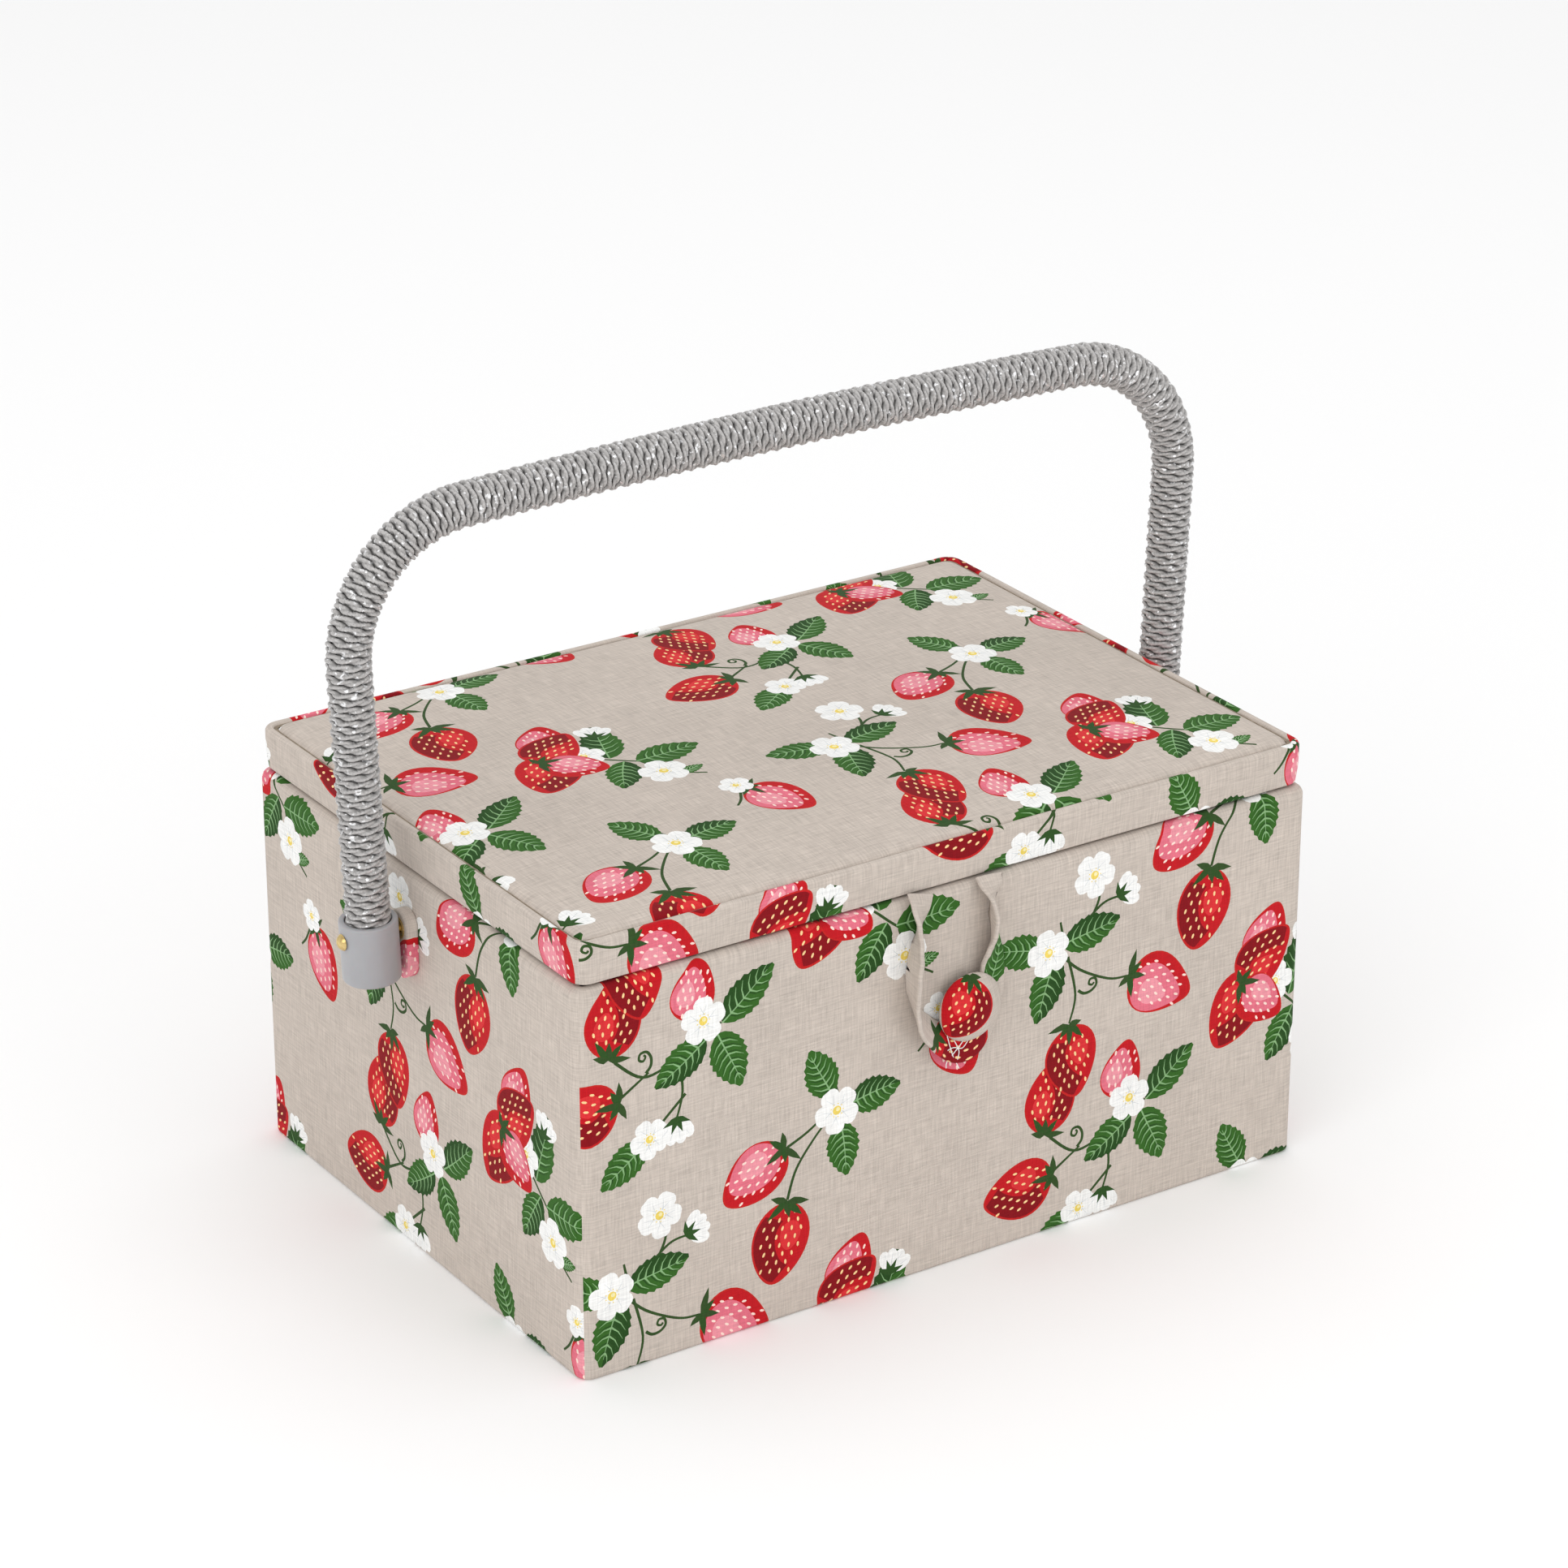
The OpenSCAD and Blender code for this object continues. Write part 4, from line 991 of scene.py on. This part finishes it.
round_steps = [half_round * k / 12 for k in range(13)]
pad_u = [0, straight / 2] + [straight + k for k in round_steps] + [1.5 * straight + half_round] + \
    [2 * straight + half_round + k for k in round_steps]
for label, sign in (("left", -1), ("right", 1)):
    pink_part = placed(berry(25, True, 9), (9.0, 2.0), -88, 0.9)
    pink_part += placed(berry(25, True, 9), (pad_round + 9.0, 2.0), -88, 0.9)
    pad = cut_cloth(f"handle_pad_{label}_linen", pad_u, [p[2] for p in pad_profile],
                    lambda u, v, sign=sign: pad_surface(u, v, sign), "box", pink_part, inside_out=sign > 0)
    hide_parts(f"spacer_{label}")

# ---- Lining of the box ----
# Pale pink satin over thin card, glued inside the four walls and folded out over their top edge, and
# over the four stiff bars that the upper tray sits on.
LINING_IN, INNER_R = 4.3, 1.0


def satin_material(name, pale, deep, sheen=0.25):
    """Satin: warp floats run down the cloth, with a soft streaky shine."""
    made, tree, shader = new_material(name, Roughness=0.46, Sheen_Weight=sheen, Specular_IOR_Level=0.4)
    at = node(tree, "TexCoord").outputs["Object"]
    drawn = node(tree, "Mapping", [("Vector", at), ("Scale", (1.0, 1.0, 0.12))]).outputs[0]
    floats = noise_at(tree, drawn, 2600.0, 2.0)
    streaks = noise_at(tree, drawn, 160.0, 4.0)
    tree.links.new(ramp(tree, streaks, deep, pale), shader.inputs["Base Color"])
    tree.links.new(maths(tree, "MULTIPLY_ADD", streaks, 0.2, 0.34), shader.inputs["Roughness"])
    creases = noise_at(tree, at, 46.0, 3.0, ("Distortion", 0.6))
    height = maths(tree, "MULTIPLY_ADD", creases, 2.2, maths(tree, "MULTIPLY", floats, 0.12))
    relief(tree, shader, height, 0.4, 0.0006)
    return made


SATIN = satin_material("pale_pink_satin", (0.80, 0.715, 0.69), (0.70, 0.615, 0.59))


def grid_cloth(name, us, vs, surface, body, material, around=False, inside_out=False):
    """A piece of cloth over a grid; surface(u, v) gives each place in millimetres."""
    columns = len(us)
    vertices = [surface(u, v) for v in vs for u in us]
    faces = []
    for j in range(len(vs) - 1):
        for i in range(columns if around else columns - 1):
            a, b = j * columns + i, j * columns + (i + 1) % columns
            faces.append((a, b, b + columns, a + columns)[::-1 if inside_out else 1])
    made = add_object(name, vertices, faces, body)
    made.data.materials.append(material)
    return made


def spread(length, edge, step):
    """Places along a length from 0, close together at both ends and step apart between them."""
    near = [edge * f for f in (0, 0.12, 0.3, 0.55, 1.0)]
    count = max(int((length - 2 * edge) / step), 1)
    return near + [edge + (length - 2 * edge) * k / count for k in range(1, count)] + \
        [length - e for e in near[::-1]]


def node_box(name):
    """The two corners of a node in millimetres."""
    low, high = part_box(name)
    return low * 1000, high * 1000


def ripple(x, y, z, size=26.0):
    """A smooth unevenness from -1 to 1."""
    return noise.noise(Vector((x / size, y / size, z / size)))


def rounded_box(name, low, high, radius, body, material, step, give, shape=None):
    """A covered bar or pad with soft edges. give is how far its faces sink unevenly."""
    size = high - low
    inner_low, inner_high = low + Vector((radius,) * 3), high - Vector((radius,) * 3)
    bm = bmesh.new()
    for axis in range(3):
        a, b = (axis + 1) % 3, (axis + 2) % 3
        us, vs = [spread(size[k], min(2 * radius, size[k] / 2.1), step) for k in (a, b)]
        for end in (0, 1):
            rows = []
            for v in vs:
                row = []
                for u in us:
                    p = Vector((0, 0, 0))
                    p[a], p[b], p[axis] = low[a] + u, low[b] + v, (high if end else low)[axis]
                    q = Vector([min(max(p[k], inner_low[k]), inner_high[k]) for k in range(3)])
                    p = q + (p - q).normalized() * (radius - give * (0.5 + 0.5 * ripple(*p)))
                    row.append(bm.verts.new((shape(p) if shape else p) / 1000))
                rows.append(row)
            for j in range(len(vs) - 1):
                for i in range(len(us) - 1):
                    quad = [rows[j][i], rows[j][i + 1], rows[j + 1][i + 1], rows[j + 1][i]]
                    bm.faces.new(quad if end else quad[::-1]).smooth = True
    bmesh.ops.remove_doubles(bm, verts=bm.verts, dist=1e-5)
    made = add_object(name, [], [], body)
    bm.to_mesh(made.data)
    bm.free()
    made.data.materials.append(material)
    return made


def frame_path(half_x, half_y, r, step):
    """Points and outward directions round a rectangle with rounded corners."""
    places = []
    for quarter, (cx, cy) in enumerate(((1, -1), (1, 1), (-1, 1), (-1, -1))):
        for k in range(4):
            a = math.radians(-90 + quarter * 90 + 30 * k)
            out = (math.cos(a), math.sin(a))
            places.append((cx * (half_x - r) + out[0] * r, cy * (half_y - r) + out[1] * r, out))
        along = 2 * ((half_y, half_x, half_y, half_x)[quarter] - r)
        x, y, out = places[-1]
        for k in range(1, int(along / step)):
            move = along * k / int(along / step)
            places.append((x - out[1] * move, y + out[0] * move, out))
    return places


lining_low, lining_high = node_box("wall_lining")
lining_top = lining_high.z
path = frame_path(BODY_W / 2 - LINING_IN, BODY_D / 2 - LINING_IN, INNER_R, 7.0)
heights = list(np.linspace(lining_low.z + 0.1, lining_top - 1.2, 18)) + \
    [lining_top + z for z in (-0.6, -0.2, 0.2, 0.48)]


def lining_surface(u, v):
    """A point of the lining: u counts round the path and v is the height, past the top the fold outwards."""
    x, y, out = path[u]
    sink = 0.16 + 0.16 * ripple(x, y, v, 17.0) + 0.06 * math.sin(v * 0.13 + x * 0.3 + y * 0.2)
    if v > lining_top:
        sink, v = v - lining_top, lining_top
    elif v > lining_top - 0.5:
        sink = 0.2
    return (x + out[0] * sink, y + out[1] * sink, v)


wall_lining = grid_cloth("wall_lining_satin", range(len(path)), heights, lining_surface, "box", SATIN,
                         around=True, inside_out=True)
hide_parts("wall_lining")
for side in ("front", "back", "left", "right"):
    low, high = node_box(f"{side}_ledge")
    bar = rounded_box(f"{side}_ledge_satin", low, high, 0.9, "box", SATIN, 7.0, 0.12)
    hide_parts(f"{side}_ledge")

# ---- Floor pad ----
# Satin quilted in diamonds over thin wadding on a card, laid loose on the bottom of the box.
pad_low, pad_high = node_box("floor_pad")
pad_w, pad_d = pad_high.x - pad_low.x, pad_high.y - pad_low.y
QUILT, PUFF, STITCH, PAD_CORNER = 28.0, 1.5, 1.6, 4


def in_diamond(x, y):
    """How far a point is past the last line of stitches, both ways."""
    return (x + y + QUILT * 20) % QUILT, (x - y + QUILT * 20) % QUILT


quilt_xs, quilt_ys, quilt = swell_cloth(
    "floor_pad_swell", pad_w, pad_d, 3.0, 4.0, PUFF,
    lambda x, y: any(min(a, QUILT - a) < STITCH for a in in_diamond(x, y)), 12)


def quilt_surface(u, v):
    """A point of the pad's upper face, from its front left corner."""
    x, y = pad_low.x + u, pad_low.y + v
    edge = max(min(u, pad_w - u, v, pad_d - v), 0)
    straight_x, straight_y = pad_w / 2 - PAD_CORNER, pad_d / 2 - PAD_CORNER
    corner = math.hypot(max(abs(x) - straight_x, 0), max(abs(y) - straight_y, 0))
    if corner > PAD_CORNER:
        x = math.copysign(straight_x + (abs(x) - straight_x) * PAD_CORNER / corner, x)
        y = math.copysign(straight_y + (abs(y) - straight_y) * PAD_CORNER / corner, y)
    puff = at_grid(quilt_xs, quilt_ys, quilt, x, y)
    return (x, y, pad_low.z + 0.1 + 0.9 * (1 - math.exp(-edge / 0.5)) + puff)


QUILTED_SATIN = satin_material("quilted_pink_satin", (0.82, 0.735, 0.71), (0.74, 0.65, 0.63), 0.3)
floor_pad = grid_cloth("floor_pad_quilted", spread(pad_w, 3.0, 2.4), spread(pad_d, 3.0, 2.4), quilt_surface,
                       "box", QUILTED_SATIN)
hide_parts("floor_pad")

# ---- Lining of the lid ----
# The same satin over card inside the lid and round the inner faces of its rails.
lid_low, lid_high = node_box("lid_lining")
LID_IN_X, LID_IN_Y, LID_CEILING = LID_W / 2 - LINING_IN, LID_D / 2 - LINING_IN, 130.53
lid_path = frame_path(LID_IN_X, LID_IN_Y, INNER_R, 7.0)


def lid_ring_surface(u, v):
    """A point of the rails' satin: u counts round the path and v is the height."""
    x, y, out = lid_path[u]
    sink = 0.2 + 0.14 * ripple(x + 70, y, v, 15.0)
    return (x + out[0] * sink, y + out[1] * sink, v)


grid_cloth("lid_edge_satin", range(len(lid_path)), np.linspace(lid_low.z + 0.05, lid_high.z - 0.45, 7),
           lid_ring_surface, "lid", SATIN, around=True, inside_out=True)


def lid_panel_surface(u, v):
    """A point of the satin under the lid's board, which turns up a little at its edge."""
    edge = max(min(u, 2 * LID_IN_X - u, v, 2 * LID_IN_Y - v), 0)
    x, y = u - LID_IN_X, v - LID_IN_Y
    return (x, y, LID_CEILING + 0.16 * (0.5 + 0.5 * ripple(x, y, 5.0, 30.0)) + 0.35 * math.exp(-edge / 0.5))


lid_panel = grid_cloth("lid_lining_satin", spread(2 * LID_IN_X, 3.0, 6.0), spread(2 * LID_IN_Y, 3.0, 6.0),
                       lid_panel_surface, "lid", SATIN, inside_out=True)
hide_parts("lid_lining")

# ---- Pin cushion ----
# A small stuffed cushion of the plain linen, sewn round its edge and glued under the lid.
cushion_low, cushion_high = node_box("pin_cushion")
cushion_mid = (cushion_low + cushion_high) / 2
CUSHION_W, CUSHION_D = cushion_high.x - cushion_low.x, cushion_high.y - cushion_low.y
cushion_xs, cushion_ys, cushion_swell = swell_cloth("cushion_swell", CUSHION_W, CUSHION_D, 3.0, 6.0, 6.2)


def cushion_surface(u, v):
    """The cushion's lower face from its seam; u and v run from -1 to 1."""
    x, y = u * CUSHION_W / 2, v * CUSHION_D / 2
    puff = at_grid(cushion_xs, cushion_ys, cushion_swell, x, y) * 0.9
    edge = min((1 - abs(u)) * CUSHION_W / 2, (1 - abs(v)) * CUSHION_D / 2)
    along = y if (1 - abs(u)) * CUSHION_W < (1 - abs(v)) * CUSHION_D else x
    pucker = 0.32 * math.sin(along * 0.95 + 1.3 * math.sin(along * 0.31)) * math.exp(-edge / 5)
    pucker *= min(edge / 1.2, 1)
    bow = 1 - 0.035 * (1 - (v if abs(u) > abs(v) else u) ** 2) * max(abs(u), abs(v)) ** 6
    rim = 0.7 * (1 - math.exp(-edge / 0.8))
    return (cushion_mid.x + x * bow, cushion_mid.y + y * bow, cushion_high.z - 0.05 - rim - puff - pucker)


CUSHION_LINEN = linen_material("cushion_linen", 0.8)
us, vs = [[2 * k / wide - 1 for k in spread(wide, 4.0, 1.8)] for wide in (CUSHION_W, CUSHION_D)]
cushion = grid_cloth("pin_cushion_stuffed", us, vs, cushion_surface, "lid", CUSHION_LINEN,
                     inside_out=True)
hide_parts("pin_cushion")

# ---- Lid pocket ----
# A gathered satin pocket, sewn flat to the lining on three sides. A ribbed elastic runs along its open
# edge.
pocket_low, pocket_high = node_box("lid_pocket")
POCKET_W, POCKET_D = pocket_high.x - pocket_low.x, pocket_high.y - pocket_low.y


def pocket_surface(u, v):
    """A point of the pocket; its folds fade towards the three sewn sides."""
    x, y = pocket_low.x + u, pocket_low.y + v
    side = min(u, POCKET_W - u) / 4
    back = (POCKET_D - v) / 4
    held = min(max(side, 0), 1) * min(max(back, 0), 1)
    held = held * held * (3 - 2 * held)
    turn = 2 * math.pi * (u + 2.2 * math.sin(v * 0.045 + 1) + 0.9 * math.sin(u * 0.21 + v * 0.06)) / 4.6
    fold = (0.74 - 0.42 * v / POCKET_D) * (1 + 0.25 * math.sin(u * 0.37))
    wave = fold * 1.5 * (0.5 + 0.5 * math.sin(turn)) ** 1.5
    return (x, y, pocket_high.z - 0.1 - held * (0.35 + wave))


pocket = grid_cloth("lid_pocket_gathered", np.linspace(0, POCKET_W, 221), np.linspace(0, POCKET_D, 43),
                    pocket_surface, "lid", SATIN, inside_out=True)
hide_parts("lid_pocket")

ELASTIC, tree, shader = new_material("ribbed_elastic", Roughness=0.75, Sheen_Weight=0.1)
at = node(tree, "TexCoord").outputs["Object"]
ribs = node(tree, "TexWave", [("Vector", at), ("Scale", 220.0), ("Distortion", 0.4), ("Detail", 1.0)],
            bands_direction="Y").outputs["Fac"]
knit = maths(tree, "MULTIPLY_ADD", noise_at(tree, at, 1500.0, 2.0), 0.3, ribs)
# Painted shade: the elastic's colour is darker down in the grooves between its ribs and lighter on their
# tops, following the same height as its bumps.
ribs_with_painted_shade = ramp(tree, knit, (0.60, 0.585, 0.565), (0.84, 0.825, 0.80), (0, 1))
tree.links.new(ribs_with_painted_shade, shader.inputs["Base Color"])
relief(tree, shader, knit, 0.6, 0.0003)
low, high = node_box("pocket_elastic")
elastic = rounded_box("pocket_elastic_ribbed", low, high, 0.35, "lid", ELASTIC, 2.0, 0.05,
                      lambda p: p + Vector((0, 0.12 * math.sin(p.x * 1.36), 0)))
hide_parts("pocket_elastic")

# ---- Cloth hinge ----
# The lid turns on the linen itself: a strip of it is glued over the outside of the back wall and the
# lid's back band.
hinge_low, hinge_high = node_box("hinge_cloth")
HINGE_W, HINGE_H = hinge_high.x - hinge_low.x, hinge_high.z - hinge_low.z
HINGE_AT = (30, 70)


def hinge_surface(u, v):
    """A point of the strip seen from behind, as it lies on the cloth."""
    along, up_wall = u - HINGE_AT[0], v - HINGE_AT[1]
    edge = min(along, HINGE_W - along, up_wall, HINGE_H - up_wall)
    proud = 0.02 + 0.46 * (1 - math.exp(-max(edge, 0) / 0.35))
    return (hinge_high.x - along, hinge_low.y + proud, hinge_low.z + up_wall)


hinge_u = [HINGE_AT[0] + k for k in
           (0, 0.3, 0.8, *np.linspace(12, HINGE_W - 12, 20), HINGE_W - 0.8, HINGE_W - 0.3, HINGE_W)]
hinge_v = [HINGE_AT[1] + k for k in (0, 0.3, 0.8, 3, 6, 8.4, *np.linspace(9, 11.8, 8), 12.6, 15,
                                     HINGE_H - 0.8, HINGE_H - 0.3, HINGE_H)]
hinge = cut_cloth("hinge_cloth_linen", hinge_u, hinge_v, hinge_surface, None)
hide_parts("hinge_cloth")
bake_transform(hinge)

# ---- Lid stays ----
# Two ribbons, each glued to the wall's lining and to the lid's, which stop the lid just past upright.
# They fold in half beside the tray when it closes.
HINGE_Y, HINGE_Z, STAY_REACH, OPENING = 92.6, 122.9, 60.0, math.radians(105)
STAY_WALL, STAY_LID, STAY_HALF = 122.2, 121.4, 4.0
RIBBON = mottled("satin_ribbon", Roughness=0.42, Sheen_Weight=0.2, bump=((1900.0, 2.0), 0.4, 0.0002),
                 tint=((1900.0, 2.0), (0.60, 0.53, 0.49), (0.72, 0.65, 0.61)))


def stay_surface(u, v, sign):
    """A point of a folded ribbon; u from 0 at the wall to 1 at the lid, beyond them the glued ends."""
    t = min(max(u, 0.0), 1.0)
    share = t * t * (3 - 2 * t)
    reach = STAY_REACH * math.cos(OPENING / 2) / math.cos((share - 0.5) * OPENING)
    tilt = OPENING / 2 - share * OPENING
    p = Vector((0, HINGE_Y - reach, HINGE_Z)) + Vector((0, -math.cos(tilt), math.sin(tilt))) * v * STAY_HALF
    x = STAY_WALL + (STAY_LID - STAY_WALL) * t
    if u < 0:
        p += Vector((0, -math.sin(OPENING / 2), -math.cos(OPENING / 2))) * -u * 10
        x = STAY_WALL + min(-u * 6, 0.85)
    if u > 1:
        p += Vector((0, -math.sin(OPENING / 2), math.cos(OPENING / 2))) * (u - 1) * 6
        x = STAY_LID - 0.05 * (u - 1)
    return (sign * x, p.y, p.z)


for label, sign in (("left", -1), ("right", 1)):
    stay = grid_cloth(f"lid_stay_{label}_ribbon",
                      [-1.0, -0.6, -0.3, -0.15, -0.05, *np.linspace(0, 1, 49), 1.1, 1.4, 1.7, 2.0],
                      np.linspace(-1, 1, 5), lambda u, v, sign=sign: stay_surface(u, v, sign), None, RIBBON)
    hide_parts(f"lid_stay_{label}")
    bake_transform(stay)

# ---- Trays ----
# Two lift-out compartment trays, moulded in frosted clear plastic.
FROSTED = mottled("frosted_plastic", Roughness=0.34, IOR=1.49, Transmission_Weight=0.4,
                  Specular_IOR_Level=0.5, tint=((22.0, 3.0), (0.86, 0.875, 0.88), (0.92, 0.93, 0.93)),
                  rough=((22.0, 3.0), 0.16, 0.27), bump=((1300.0, 3.0), 0.25, 0.0002))
finish_nodes(FROSTED, "upper_tray", "lower_tray")

# ---- Board, paper, metal and bar ----
# What the coverings hide: greyboard walls, lid and rails, the book cloth under the box, the pressed
# button's shell, shank and back plate, and the moulded bar inside the handle's winding.
PULP = (500.0, 6.0, ("Roughness", 0.7))
BOARD = mottled("greyboard", Roughness=0.92, Specular_IOR_Level=0.2, bump=(PULP, 0.4, 0.0003),
                tint=(PULP, (0.19, 0.15, 0.11), (0.36, 0.30, 0.23), (0.3, 0.72)))
finish_nodes(BOARD, "base_board", "front_board", "back_board", "left_board", "right_board", "lid_board",
             "lid_front_rail", "lid_back_rail", "lid_left_rail", "lid_right_rail")

BOOK_CLOTH = linen_material("book_cloth", 0.6)
finish_nodes(BOOK_CLOTH, "base_cover")
finish_nodes(PLAIN_LINEN, "closure_tab")

ALUMINIUM = mottled("pressed_aluminium", Metallic=1.0, Roughness=0.32, Base_Color=(0.66, 0.66, 0.67, 1),
                    rough=((800.0, 3.0), 0.3, 0.18), bump=((800.0, 3.0), 0.15, 0.0001))
finish_nodes(ALUMINIUM, "button_shell", "button_shank", "button_back")

BAR_PLASTIC = mottled("grey_bar_plastic", Roughness=0.5, Base_Color=(0.17, 0.165, 0.16, 1),
                      rough=((900.0, 3.0), 0.25, 0.38), bump=((900.0, 3.0), 0.2, 0.0001))
finish_nodes(BAR_PLASTIC, "handle_core")
